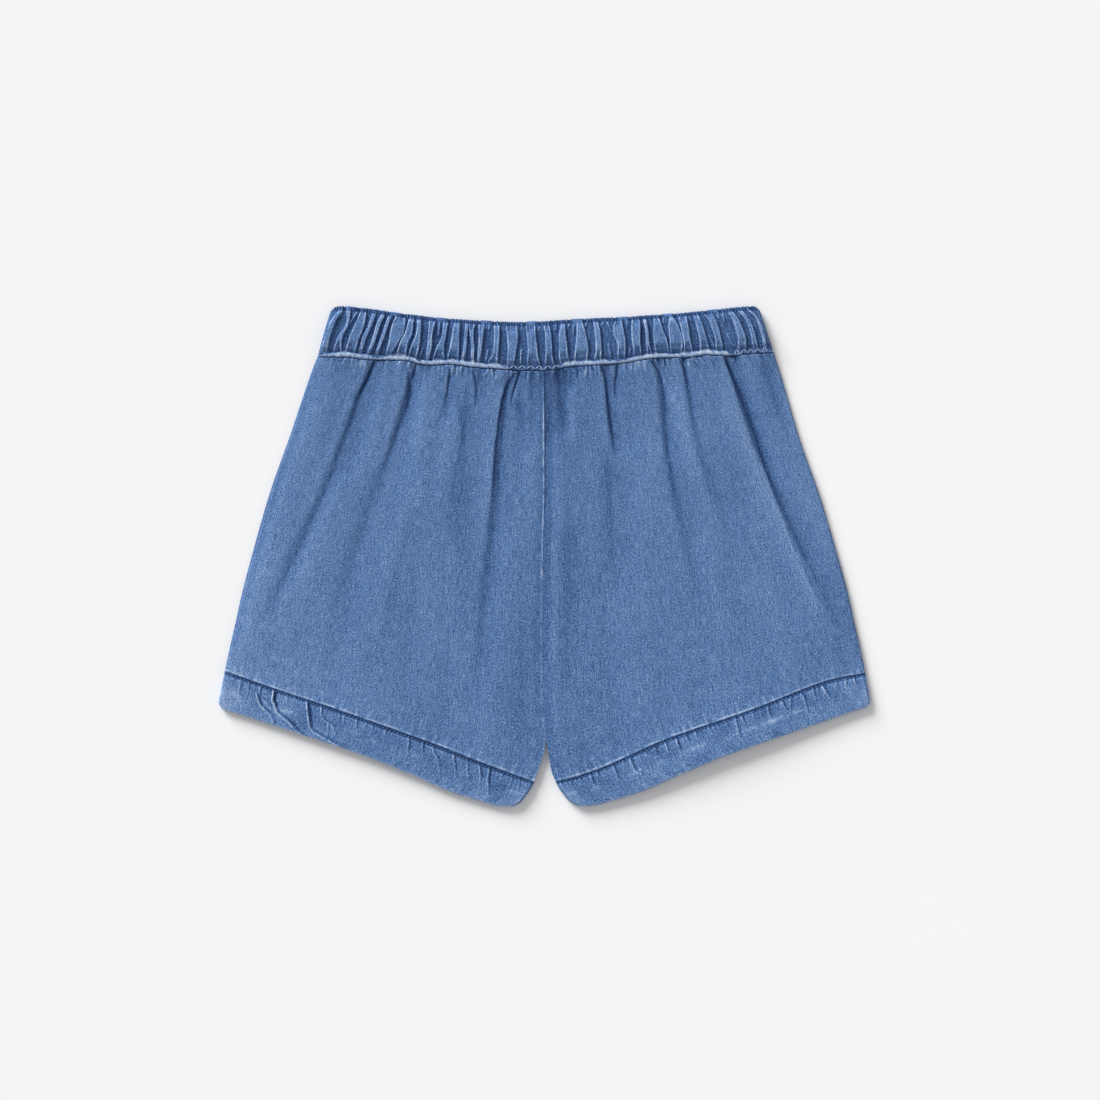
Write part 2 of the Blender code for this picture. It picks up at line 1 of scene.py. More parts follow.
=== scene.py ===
"""Looks of a girl's denim skort, laid flat on its front with its back up.

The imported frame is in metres, with +Z up and +Y from the hems to the waistband. Lengths in the
tables are millimetres, as a pattern cutter writes them, and heights up the garment are measured
from the hems' lowest point. Left and right are the wearer's, so left is at -X.
"""

from collections import namedtuple
from functools import partial

import bmesh
import bpy
import numpy as np
from bpy.props import FloatProperty, FloatVectorProperty, PointerProperty
from bpy.types import Operator, Panel, PropertyGroup
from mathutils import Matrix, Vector


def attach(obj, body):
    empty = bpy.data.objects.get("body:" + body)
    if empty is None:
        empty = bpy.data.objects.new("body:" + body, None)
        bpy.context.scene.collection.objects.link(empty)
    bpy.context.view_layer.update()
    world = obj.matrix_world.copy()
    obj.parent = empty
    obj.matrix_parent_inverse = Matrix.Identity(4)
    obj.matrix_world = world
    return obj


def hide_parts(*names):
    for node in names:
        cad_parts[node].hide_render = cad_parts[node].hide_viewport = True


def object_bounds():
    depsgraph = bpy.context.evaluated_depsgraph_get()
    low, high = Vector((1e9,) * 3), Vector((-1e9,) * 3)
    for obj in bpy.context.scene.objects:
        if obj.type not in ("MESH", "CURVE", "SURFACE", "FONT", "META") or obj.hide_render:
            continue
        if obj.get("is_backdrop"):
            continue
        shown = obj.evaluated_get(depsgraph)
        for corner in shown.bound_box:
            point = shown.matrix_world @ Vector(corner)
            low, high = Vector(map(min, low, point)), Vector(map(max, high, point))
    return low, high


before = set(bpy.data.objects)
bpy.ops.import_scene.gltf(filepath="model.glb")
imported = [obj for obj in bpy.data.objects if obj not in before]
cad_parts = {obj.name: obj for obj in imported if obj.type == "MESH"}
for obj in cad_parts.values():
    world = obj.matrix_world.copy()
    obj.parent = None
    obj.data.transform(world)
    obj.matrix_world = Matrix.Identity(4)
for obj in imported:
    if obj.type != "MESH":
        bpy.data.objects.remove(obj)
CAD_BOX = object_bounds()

bl_info = {
    "name": "Gathered denim skort",
    "version": (1, 0, 0),
    "blender": (4, 5, 0),
    "location": "View3D > Sidebar > Skort",
    "description": "Builds a gathered denim skort, laid flat, piece by piece",
    "category": "Object",
}

MM = 0.001

# ---------------------------------------------------------------- the garment's outline

Half = namedtuple("Half", "name side band_top waist hem_seam hem_corner hem_toe")
LEFT = Half(
    name="left",
    side=-1,
    band_top=(129.6, 304.7),
    waist=(138.2, 276.9),
    hem_seam=(194.9, 82.3),
    hem_corner=(199.2, 60.1),
    hem_toe=(19.2, 0.0),
)
RIGHT = Half(
    name="right",
    side=1,
    band_top=(130.2, 305.3),
    waist=(139.4, 278.8),
    hem_seam=(195.5, 81.1),
    hem_corner=(199.2, 61.6),
    hem_toe=(21.7, 0.0),
)
HALVES = (LEFT, RIGHT)
BAND_TOP_UP = 295.8
WAIST_UP = 267.2
HEM_SEAM_UP = 14.6
MIDDLE_UP = 152.65
PANEL_LENGTH = WAIST_UP - HEM_SEAM_UP
BAND_DEPTH = BAND_TOP_UP - WAIST_UP
BAND_LENGTH = LEFT.band_top[0] + RIGHT.band_top[0]
HEM_DEPTH = 20.0

Inner = namedtuple("Inner", "up left right")
INNER_EDGE = (
    Inner(267.2, -0.3, -0.3), Inner(197.0, 0.0, 0.0), Inner(151.0, -0.9, -0.9),
    Inner(93.0, -1.5, -1.5), Inner(58.0, -0.6, -0.6), Inner(41.0, 0.6, 0.7), Inner(36.5, 0.3, 1.9),
    Inner(25.6, -2.7, 3.4), Inner(14.6, -6.4, 7.0),
)

Bow = namedtuple("Bow", "share left right")
SIDE_BOWS = (
    Bow(0.25, 1.9, 0.3), Bow(0.50, 4.3, 3.2), Bow(0.68, 3.8, 3.4), Bow(0.85, 2.0, 2.0),
)
WAIST_BOWS = (
    Bow(0.05, -0.1, -0.3), Bow(0.16, -0.3, 0.8), Bow(0.38, -0.2, 1.4), Bow(0.55, -1.1, 2.1),
    Bow(0.78, -0.2, 1.7),
)
BAND_TOP_BOWS = (
    Bow(0.22, -2.0, -0.3), Bow(0.42, -2.4, -1.0), Bow(0.62, -1.6, -1.0), Bow(0.93, 0.8, 0.1),
)
HEM_SEAM_BOWS = (
    Bow(0.12, 0.2, -1.4), Bow(0.38, 1.4, 2.5), Bow(0.62, 1.2, 2.0), Bow(0.84, 0.2, 3.5),
)
HEM_EDGE_BOWS = (
    Bow(0.09, -3.2, -3.0), Bow(0.20, -3.6, -3.9), Bow(0.35, -0.9, -1.6), Bow(0.58, 1.0, 0.4),
    Bow(0.90, 0.7, 0.2),
)
TOE_BOWS = (
    Bow(0.45, -2.0, -2.6), Bow(0.75, -2.6, -3.4),
)

# ---------------------------------------------------------------- how the cloth lies

PLY = 1.15
SEAM_GAP = 0.05
SLOT = 0.3
HEM_PLIES = 2.0
BAND_PLIES = 2.5
HEM_LIFT = {"left": 1.1, "right": 2.4}
LIFT_AT_SEAM = 0.6
LEAST_WALL = 0.5
HEM_DENTS = 0.25
HEM_END_ROUND = 1.5
HEM_END_WALL = 1.2
# A constant paleness on the hems' rounded ends: wear, and painted light against their shade.
HEM_END_WEAR_AND_LIGHT = 0.35
BAND_END_ROUND = 2.0
BAND_END_WALL = 1.5
BAND_END_WEAR = 0.1
# Cut length of the band's cloth for each millimetre that it lies.
BAND_FULLNESS = 1.35
CORNER_ROUND = 4.0

# Stitches of the hems: where their row starts and ends, as shares of the hem's length, how far
# below the seam each one starts and ends, and their gaps and height over the cloth.
HEM_STITCHES = (0.02, 0.98)
HEM_STITCH_ROWS = (0.1, 1.7)
HEM_STITCH_GAP = 0.5
HEM_STITCH_ABOVE = 0.08

# Creases pressed into the front: the trough that starts one, how softly it deepens, and depths.
FRONT_FROM = 0.15
FRONT_SOFT = 1.2
FRONT_PRESS = 0.45
FRONT_MOST = 0.85

# Rounds of the panels' edges: how far in from an edge they start and how far they fall.
CENTRE_ROUND = (0.3, 0.12)
HEM_SEAM_ROUND = (0.8, 0.45)
WAIST_ROUND = (1.1, 0.8)
SIDE_ROUND = (1.4, 0.9)
FRONT_ROUND = (0.8, 0.4)
FRONT_SIDE_ROUND = (1.4, 0.8)

# Folds of the panels: their heights over the surface and how they calm near the seams.
MEAN_FOLD = 1.1
MOST_FOLD = 2.5
FOLD_GAIN = 0.68
STEEP_FLANK = 0.38
SOFT_FLANK = 1.35
FLANK_SHIFT = 0.3
CREASE_POWER = 1.6
SEAM_CALM = 9.0
SIDE_FOLD_SHARE = 0.25
CENTRE_FOLD = 0.65
WAIST_LOFT = 1.3
WAIST_LOFT_REACH = 16.0
HEM_LOFT = 0.8
HEM_LOFT_REACH = 25.0
HEM_CALM = 0.25

# Folds of the back panels. Places are shares of the way from the centre seam (0) to the side
# seam (1); start and end are shares of the way from the waist (0) to the hem (1). Widths and
# heights are millimetres, and a trough is negative. Keep is what is left of its height halfway.
Fold = namedtuple("Fold", "at_start at_middle at_end start end width_start width_end height keep")
FADE_IN = 0.2
FADE_OUT = 0.4
PANEL_FOLDS = {
    "left": (
        Fold(0.060, 0.065, 0.075, 0.00, 0.22, 5, 9, -0.9, 0.6),
        Fold(0.115, 0.130, 0.100, 0.02, 0.35, 3, 6, -0.9, 0.6),
        Fold(0.155, 0.202, 0.235, 0.00, 0.92, 5, 13, -2.3, 0.6),
        Fold(0.290, 0.290, 0.290, 0.01, 0.12, 3, 5, -0.8, 0.6),
        Fold(0.350, 0.330, 0.360, 0.02, 0.56, 6, 12, -1.1, 0.6),
        Fold(0.390, 0.400, 0.420, 0.10, 0.60, 8, 12, 0.7, 0.9),
        Fold(0.415, 0.415, 0.415, 0.01, 0.17, 3, 5, -1.1, 0.6),
        Fold(0.520, 0.505, 0.490, 0.03, 0.30, 7, 10, 0.8, 0.8),
        Fold(0.570, 0.645, 0.740, 0.00, 0.82, 5, 14, -2.0, 0.5),
        Fold(0.500, 0.530, 0.590, 0.38, 0.95, 11, 16, -0.8, 0.9),
        Fold(0.730, 0.820, 0.920, 0.25, 1.00, 10, 22, 1.2, 1.0),
        Fold(0.755, 0.835, 0.960, 0.00, 0.90, 6, 13, -2.2, 0.7),
    ),
    "right": (
        Fold(0.050, 0.055, 0.065, 0.00, 0.18, 6, 8, -1.2, 0.7),
        Fold(0.115, 0.118, 0.125, 0.04, 0.24, 4, 6, 0.8, 0.9),
        Fold(0.070, 0.070, 0.050, 0.36, 0.84, 11, 14, -0.8, 0.9),
        Fold(0.260, 0.268, 0.278, 0.00, 0.28, 4, 7, -1.8, 0.8),
        Fold(0.252, 0.230, 0.250, 0.24, 0.66, 9, 13, -0.8, 0.8),
        Fold(0.310, 0.305, 0.300, 0.00, 0.10, 3, 4, -1.0, 0.7),
        Fold(0.420, 0.440, 0.460, 0.20, 0.52, 12, 16, 0.6, 0.9),
        Fold(0.490, 0.480, 0.540, 0.00, 0.70, 5, 13, -1.8, 0.5),
        Fold(0.530, 0.565, 0.605, 0.06, 0.42, 8, 12, 0.9, 0.8),
        Fold(0.600, 0.605, 0.680, 0.00, 0.56, 5, 12, -1.4, 0.6),
        Fold(0.755, 0.830, 0.970, 0.02, 1.00, 7, 11, 1.2, 0.9),
        Fold(0.785, 0.848, 0.950, 0.00, 0.90, 4, 9, -2.4, 0.8),
        Fold(0.920, 0.935, 0.955, 0.02, 0.32, 7, 10, -0.9, 0.8),
    ),
}

# Creases of the back panels, each as points from the waist down: how far down and how far out
# (thousandths), how dark (hundredths), and how far the dark reaches to the wearer's left and
# right (tenths of a millimetre). The dark is painted shade of the cloth that hangs over each
# crease, reaching further on the side away from the light, with some deeper dye.
CREASE_UNITS = np.array([[1000.0], [1000.0], [100.0], [10.0], [10.0]])
PANEL_CREASES = {
    "left": (
        (
            (8, 125, 30, 6, 10), (20, 140, 45, 7, 14), (35, 155, 55, 8, 18), (64, 170, 85, 6, 17),
            (100, 181, 80, 6, 21), (160, 190, 68, 8, 24), (250, 197, 68, 9, 28),
            (360, 197, 32, 13, 35), (500, 203, 15, 25, 35), (650, 210, 0, 30, 40),
        ),
        ((4, 108, 50, 6, 6), (35, 121, 75, 6, 7), (64, 134, 50, 6, 7), (100, 146, 0, 8, 9)),
        (
            (70, 125, 0, 20, 20), (100, 107, 20, 30, 30), (150, 85, 14, 40, 40),
            (220, 70, 0, 40, 40),
        ),
        ((10, 316, 35, 5, 7), (43, 298, 52, 6, 8), (70, 292, 42, 6, 8), (120, 289, 0, 10, 10)),
        (
            (40, 364, 0, 20, 30), (100, 357, 15, 25, 30), (143, 343, 25, 25, 35),
            (200, 331, 20, 25, 20), (320, 348, 20, 25, 40), (450, 350, 0, 30, 40),
        ),
        (
            (4, 408, 60, 6, 6), (35, 412, 52, 6, 6), (70, 413, 42, 6, 7), (117, 420, 26, 10, 10),
            (190, 447, 0, 20, 20),
        ),
        ((4, 566, 45, 6, 8), (30, 568, 48, 6, 12), (48, 569, 30, 6, 10), (65, 570, 0, 8, 8)),
        (
            (18, 602, 12, 8, 8), (46, 585, 35, 15, 12), (86, 571, 58, 16, 13),
            (117, 570, 48, 20, 13), (160, 583, 30, 30, 20), (250, 606, 25, 26, 16),
            (357, 640, 12, 30, 25), (500, 680, 7, 40, 30), (650, 700, 0, 40, 40),
        ),
        (
            (3, 744, 50, 8, 8), (20, 748, 72, 10, 9), (50, 753, 76, 11, 10), (90, 767, 66, 14, 11),
            (130, 780, 48, 18, 13), (200, 790, 28, 22, 20), (286, 805, 24, 22, 16),
            (430, 826, 12, 30, 30), (600, 875, 12, 25, 30), (750, 900, 0, 30, 30),
        ),
    ),
    "right": (
        (
            (3, 252, 50, 6, 6), (20, 257, 50, 6, 7), (50, 262, 60, 6, 9), (100, 265, 68, 8, 9),
            (160, 270, 54, 13, 11), (200, 275, 36, 16, 10), (260, 277, 0, 20, 10),
        ),
        (
            (210, 262, 0, 30, 30), (280, 243, 12, 40, 40), (360, 243, 12, 40, 40),
            (600, 250, 0, 50, 50),
        ),
        ((6, 316, 45, 5, 6), (30, 311, 60, 6, 7), (60, 301, 50, 6, 7), (100, 297, 0, 10, 10)),
        (
            (4, 462, 30, 6, 6), (20, 476, 45, 6, 7), (60, 495, 50, 8, 8), (100, 500, 44, 11, 11),
            (160, 492, 26, 18, 26), (250, 485, 22, 22, 16), (400, 492, 17, 30, 22),
            (570, 515, 13, 25, 25), (720, 545, 0, 30, 30),
        ),
        (
            (3, 587, 40, 6, 6), (30, 598, 42, 6, 8), (60, 602, 42, 8, 10), (100, 603, 20, 12, 20),
            (200, 602, 14, 20, 10), (350, 618, 14, 20, 20), (550, 670, 0, 30, 30),
        ),
        (
            (8, 778, 30, 6, 10), (30, 787, 60, 7, 16), (70, 795, 70, 5, 16),
            (140, 810.5, 60, 5, 22), (200, 822, 52, 6, 23), (300, 835, 46, 6, 26),
            (430, 843, 40, 6, 28), (500, 852, 30, 6, 32), (570, 863, 22, 8, 40),
            (700, 888, 28, 7, 28), (800, 922, 12, 9, 35), (900, 975, 5, 10, 30),
            (970, 1000, 0, 10, 30),
        ),
        ((10, 150, 35, 5, 9), (22, 143, 30, 5, 8), (35, 138, 0, 6, 8)),
        ((6, 213, 25, 6, 8), (22, 228, 30, 6, 8), (36, 240, 0, 8, 8)),
        ((16, 648, 30, 6, 8), (32, 661, 25, 6, 8), (45, 668, 0, 8, 8)),
        ((12, 718, 25, 6, 8), (26, 729, 22, 6, 8), (40, 738, 0, 8, 8)),
    ),
}
CREASE_DEPTH = 0.9
# How strongly the creases' painted shade darkens the cloth.
CREASE_PAINTED_SHADE = 2.0
CREASE_SHAPE = 1.4
CREASE_FADE = 0.35
CREASE_FADE_STEP = (0.2, 0.5)

# Where the short gathers below the waist seam lie closest, as shares out from the centre seam.
GATHER_CLUSTERS = {
    "left": ((0.20, 0.26), (0.33, 0.46), (0.57, 0.66), (0.79, 0.88)),
    "right": ((0.13, 0.24), (0.42, 0.53), (0.60, 0.68), (0.80, 0.84)),
}
CLUSTER_FADE = 0.03
# The least and the most of their pitch in millimetres, of their length as a share of the
# panel's and of their height, and the shares of the way down at which they start.
Gathers = namedtuple("Gathers", "pitch length height")
CLOSE_GATHERS = Gathers((1.7, 3.0), (0.018, 0.045), (0.35, 0.85))
LOOSE_GATHERS = Gathers((2.8, 6.5), (0.012, 0.030), (0.15, 0.40))
GATHER_STARTS = [-0.014, -0.014, -0.006, 0.004]

# Gathers of the waistband's back. Each ridge has a left and a right rim, in thousandths of the
# band's length at the four heights of RIM_ROWS, and how far the cloth between them falls in
# near the top edge and near the waist seam, in tenths.
RIM_ROWS = (0.10, 0.37, 0.63, 0.88)
Ridge = namedtuple("Ridge", "left right split_top split_seam")
RIDGES = tuple(Ridge(*(np.array(part) / 10 for part in row)) for row in (
    ((22, 9, 6, 5), (29, 18, 16, 16), 0, 0), ((41, 47, 35, 32), (47, 50, 43, 48), 0, 9),
    ((72, 67, 62, 59), (83, 85, 81, 78), 4, 6), ((100, 97, 90, 89), (106, 102, 96, 93), 0, 0),
    ((121, 115, 112, 108), (126, 121, 117, 112), 0, 0),
    ((138, 133, 130, 127), (143, 138, 134, 130), 0, 0),
    ((154, 150, 150, 150), (174, 178, 169, 158), 8, 2),
    ((187, 183, 176, 173), (195, 196, 192, 191), 0, 8),
    ((205, 208, 203, 199), (211, 215, 217, 215), 0, 10),
    ((233, 236, 238, 238), (245, 243, 245, 241), 5, 0),
    ((267, 268, 259, 252), (275, 274, 273, 276), 3, 10),
    ((291, 289, 288, 286), (301, 303, 306, 308), 0, 7),
    ((317, 318, 319, 316), (321, 322, 323, 320), 0, 0),
    ((326, 331, 337, 340), (337, 336, 341, 343), 10, 0),
    ((348, 351, 352, 351), (359, 358, 357, 355), 6, 0),
    ((384, 386, 386, 376), (394, 395, 395, 394), 4, 6),
    ((412, 416, 419, 419), (435, 438, 435, 430), 10, 2),
    ((459, 461, 464, 463), (477, 480, 483, 489), 10, 7),
    ((500, 504, 504, 502), (510, 515, 516, 520), 7, 9),
    ((539, 535, 534, 536), (546, 548, 550, 554), 0, 6),
    ((577, 574, 570, 567), (588, 593, 596, 593), 3, 8),
    ((616, 617, 616, 611), (623, 627, 626, 623), 6, 7),
    ((666, 658, 665, 663), (679, 680, 680, 677), 9, 6),
    ((704, 699, 699, 697), (719, 717, 714, 711), 9, 10),
    ((731, 731, 729, 727), (735, 735, 733, 735), 0, 6),
    ((755, 750, 746, 745), (764, 769, 773, 773), 4, 8),
    ((793, 784, 781, 779), (798, 806, 808, 800), 0, 7),
    ((813, 812, 812, 808), (828, 827, 825, 824), 10, 9),
    ((848, 848, 848, 844), (856, 860, 861, 861), 3, 9),
    ((873, 881, 882, 878), (889, 894, 893, 891), 9, 6),
    ((927, 933, 933, 927), (936, 945, 947, 942), 3, 5),
    ((952, 962, 963, 961), (959, 969, 970, 969), 0, 3),
    ((974, 985, 987, 984), (978, 989, 991, 988), 0, 0),
))

# Short crests between the ridges: places along the band where each starts and ends, how far
# down it starts and ends, and how strongly it shows.
Crest = namedtuple("Crest", "at_start at_end start end strength")
CRESTS = tuple(Crest(*row) for row in (
    (6.4, 5.1, 0.08, 0.40, 0.9), (17.3, 17.5, 0.08, 0.26, 0.5), (22.8, 22.2, 0.64, 0.90, 0.8),
    (25.5, 25.8, 0.07, 0.42, 0.7), (36.6, 36.3, 0.09, 0.22, 0.5), (37.3, 37.1, 0.07, 0.22, 0.6),
    (37.3, 37.0, 0.60, 0.90, 0.7), (40.4, 40.7, 0.74, 0.90, 0.5), (44.8, 44.7, 0.56, 0.90, 0.7),
    (48.9, 48.7, 0.07, 0.22, 0.5), (52.7, 52.4, 0.07, 0.26, 0.6), (55.9, 55.4, 0.07, 0.18, 0.8),
    (56.9, 56.6, 0.07, 0.34, 0.6), (59.7, 59.6, 0.07, 0.20, 0.6), (63.8, 63.3, 0.07, 0.19, 0.7),
    (64.4, 65.6, 0.07, 0.37, 1.0), (64.3, 64.6, 0.55, 0.89, 0.8), (69.2, 69.0, 0.07, 0.24, 0.5),
    (69.1, 68.4, 0.70, 0.90, 0.6), (77.6, 77.5, 0.07, 0.24, 0.5), (79.7, 80.3, 0.10, 0.28, 0.7),
    (80.7, 80.0, 0.64, 0.90, 0.8), (83.5, 83.8, 0.08, 0.22, 0.4), (87.0, 87.6, 0.54, 0.87, 0.7),
    (90.2, 90.1, 0.07, 0.24, 0.6), (91.4, 91.2, 0.05, 0.34, 0.7), (91.0, 91.7, 0.54, 0.86, 0.6),
    (99.5, 99.6, 0.06, 0.90, 0.4),
))
FLANK = 0.9
RIM_WIDTH = 0.36
GROOVE_REACH = 0.5
LIT_GROOVE = 0.55
SPLIT_DEPTH = 0.65
SPLIT_STEPS = ((0.28, 0.14), (0.66, 0.78))
CREST_WIDTH = 0.42
CREST_RISE = 0.75
RIM_RISE = 0.15
CRINKLES = 90
CRINKLE_RISE = 0.6
# The band's front, on the surface: the wall that lies flat, how deep its hollows and crinkles
# are pressed in, and the most that both may come to.
FRONT_WALL = 2.4
FRONT_DENTS = 0.9
FRONT_CRINKLES = 0.3
FRONT_BAND_MOST = 1.3
GATHER_BELOW_SEAM = 0.5
GATHER_BELOW_REACH = 7.0

# Across the band, from its top edge (0) to the waist seam (1): the casing's thickness and how
# much of the gathers' height shows there.
BAND_ROWS = (
    (0.000, 0.60, 0.05), (0.012, 1.35, 0.20), (0.030, 2.00, 0.32), (0.075, 2.25, 0.40),
    (0.115, 2.30, 0.70), (0.200, 2.55, 1.00), (0.550, 2.75, 1.00), (0.800, 2.50, 0.90),
    (0.860, 1.95, 0.45), (0.890, 1.80, 0.25), (0.925, 2.45, 0.12), (0.960, 2.55, 0.08),
    (0.982, 2.05, 0.04), (1.000, 1.10, 0.00),
)

# Along the band in hundredths: how far its rolled lower edge shows, and how the seam waves.
WELT_SHOWS = (
    (0, 0.4), (3, 1.2), (5.5, 2.5), (9, 2.6), (11, 1.5), (13, 0.8), (15, 1.6), (17, 2.8),
    (20, 2.9), (22, 2.0), (25, 2.0), (27, 2.8), (33.5, 3.0), (35, 2.0), (37, 2.6), (39.5, 2.5),
    (41, 0.8), (43, 0.1), (53, 0.1), (54.5, 2.7), (59, 2.9), (60.5, 2.4), (64, 2.0), (67, 1.4),
    (69, 2.6), (73, 2.9), (80, 3.0), (85, 3.1), (89, 2.7), (91, 0.0), (98, 0.2), (100, 0.4),
)
WELT_WAVES = (
    (0, -3.2), (4, -2.8), (7, -2.3), (10, -2.6), (13, -2.2), (16, -1.5), (20, -0.9), (22, -2.0),
    (25, -2.6), (29, -1.8), (34, -2.7), (40, -2.7), (46, -2.2), (52, -1.6), (55, -0.9),
    (58, -1.8), (62, -2.2), (67, -2.6), (73, -1.9), (79, -2.9), (82, -3.2), (85, -2.6),
    (88, -3.2), (91, -3.9), (94, -3.4), (100, -2.2),
)
WAVE_REACH = 12.0

# Zigzag stitching where the roll doesn't hide it: where it starts and ends along the band, half
# its pitch in millimetres, and its upper and lower rows.
ZIGZAGS = ((0.404, 0.545, 2.4, 0.912, 0.975), (0.915, 0.990, 1.9, 0.900, 0.985))
ZIGZAG_THREAD = 1.5
ZIGZAG_ABOVE = 0.25
TOOTH_PITCH = 2.1
TOOTH_HEIGHT = 0.3

# Across a hem, from its seam (0) to its edge (1): thickness and how much of the puckers shows.
HEM_ROWS = (
    (0.000, 1.25, 0.10), (0.022, 1.15, 0.20), (0.055, 1.35, 0.60), (0.120, 1.90, 1.00),
    (0.340, 2.00, 1.00), (0.880, 2.00, 1.00), (0.950, 1.95, 0.90), (0.985, 1.75, 0.60),
    (1.000, 1.35, 0.40),
)

# Crests of the puckers that the stitching pulls into each hem: how strongly each shows
# (tenths), then its points from the seam down, in hundredths of the hem's depth and thousandths
# of its length from the toe.
HEM_CRESTS = {
    "left": (
        (6, (5, 45), (25, 40), (45, 35)), (3, (5, 22), (25, 20)), (5, (5, 68), (44, 65), (58, 62)),
        (3, (5, 102), (28, 95)), (11, (5, 143), (30, 138), (51, 127), (65, 120), (78, 113)),
        (9, (5, 178), (23, 167), (44, 157), (58, 153)), (6, (5, 214), (27, 207), (50, 190)),
        (9, (5, 259), (25, 250), (41, 240), (62, 228)), (5, (0, 285), (18, 277)),
        (7, (5, 326), (21, 317), (32, 303), (48, 290), (68, 277)),
        (9, (5, 358), (23, 353), (36, 347)), (4, (4, 374), (14, 372)),
        (8, (5, 404), (23, 398), (41, 395), (52, 388)), (5, (4, 437), (16, 436)),
        (6, (5, 477), (24, 474)), (4, (5, 521), (24, 519)), (4, (5, 540), (20, 540)),
        (8, (6, 571), (30, 567)), (5, (5, 611), (30, 609)), (4, (5, 628), (24, 624)),
        (6, (45, 650), (78, 643)),
        (9, (5, 686), (22, 682), (38, 670), (43, 657), (49, 640), (61, 627), (72, 618)),
        (
            18, (5, 734), (31, 723), (54, 713), (73, 703), (81, 690), (87, 667), (93, 633),
            (99, 600),
        ),
        (6, (4, 770), (14, 769)), (6, (5, 797), (28, 791)),
        (
            19, (6, 840), (28, 838), (41, 830), (59, 817), (69, 797), (80, 770), (92, 747),
            (100, 723),
        ),
        (9, (5, 883), (25, 881), (38, 872), (45, 853), (58, 835)),
        (14, (30, 890), (54, 873), (68, 850), (78, 830), (93, 815)), (4, (5, 901), (20, 900)),
        (5, (5, 920), (40, 917)), (6, (5, 946), (52, 943)), (4, (5, 968), (20, 968)),
        (3, (5, 988), (16, 988)),
    ),
    "right": (
        (5, (5, 12), (26, 12)), (5, (5, 28), (20, 29)), (8, (5, 41), (30, 41)),
        (6, (3, 58), (18, 59)), (5, (4, 74), (18, 74)), (9, (3, 107), (16, 107), (44, 103)),
        (8, (4, 128), (22, 129)), (6, (3, 153), (15, 155)), (10, (4, 180), (15, 182), (50, 178)),
        (8, (4, 213), (16, 214)), (11, (5, 235), (40, 236), (62, 248)), (6, (10, 283), (30, 290)),
        (10, (6, 316), (34, 313)), (10, (6, 350), (32, 350)), (9, (6, 385), (27, 385), (62, 380)),
        (9, (6, 414), (26, 419)), (9, (5, 447), (24, 447)), (6, (6, 489), (28, 493)),
        (7, (5, 517), (26, 521)), (7, (5, 545), (24, 547)), (9, (3, 576), (24, 575), (68, 570)),
        (9, (5, 595), (30, 599)), (6, (5, 630), (28, 631)), (4, (5, 655), (34, 657)),
        (8, (5, 680), (48, 680)), (6, (5, 707), (20, 707)), (8, (6, 726), (38, 734)),
        (7, (5, 756), (36, 747)), (8, (6, 788), (27, 795), (62, 796)), (9, (6, 827), (34, 829)),
        (10, (6, 857), (23, 863), (44, 873)), (4, (6, 903), (26, 904)), (7, (5, 933), (30, 932)),
        (9, (5, 960), (26, 961)), (3, (5, 985), (20, 985)),
    ),
}
CREST_UNITS = (100.0, 1000.0)
CREST_HALF = 0.42
CREST_HEIGHT = 0.40
CREST_FADE = 0.6
CREST_END = 0.5
CREST_SHADE = 1.1
SHADE_REACH = 0.7
HOLLOW_SHARE = 0.8

# Patches where the cloth is darker (-) or paler (+): place in millimetres right of the middle
# and up from the hems, reach across and along, and strength.
TonePatch = namedtuple("TonePatch", "x up reach_x reach_up strength")
TONE_PATCHES = tuple(TonePatch(*row) for row in (
    (8.0, 250.0, 8.0, 24.0, -0.25), (-8.0, 256.0, 6.0, 20.0, -0.35),
    (2.0, 264.5, 24.0, 4.5, -0.42), (0.0, 100.0, 30.0, 60.0, -0.20),
    (-190.0, 68.0, 14.0, 12.0, 0.45), (188.0, 70.0, 13.0, 11.0, 0.30),
    (-160.0, 110.0, 26.0, 36.0, 0.15), (-70.0, 262.0, 60.0, 16.0, -0.10),
    (80.0, 262.0, 60.0, 16.0, -0.10), (135.0, 255.0, 8.0, 22.0, -0.20),
    (185.0, 130.0, 9.0, 40.0, -0.25),
))

# How strongly the pale line of the centre seam shows, from the waist (0) to the hems (1).
CENTRE_LINE = ((0.0, 0.2), (0.05, 0.5), (0.16, 1.0), (0.45, 0.9), (0.65, 0.6), (1.0, 0.4))

# Soft uneven waves of the panels: height, and reach down and across in grid steps.
SOFT_WAVES = ((0.03, 30, 3.5), (0.10, 38, 8.0), (0.19, 44, 16.0), (0.03, 7, 8.0))

# How wear and painted shade read a surface: how far round a place it looks, how deep a hollow is
# for full effect, and its share. Ridges rub pale; hollows are painted dark, partly deeper dye and
# partly painted shade.
WEAR_AND_SHADE_SCALES = ((0.7, 0.12, 0.45), (2.4, 0.45, 0.25), (6.0, 0.90, 0.30))

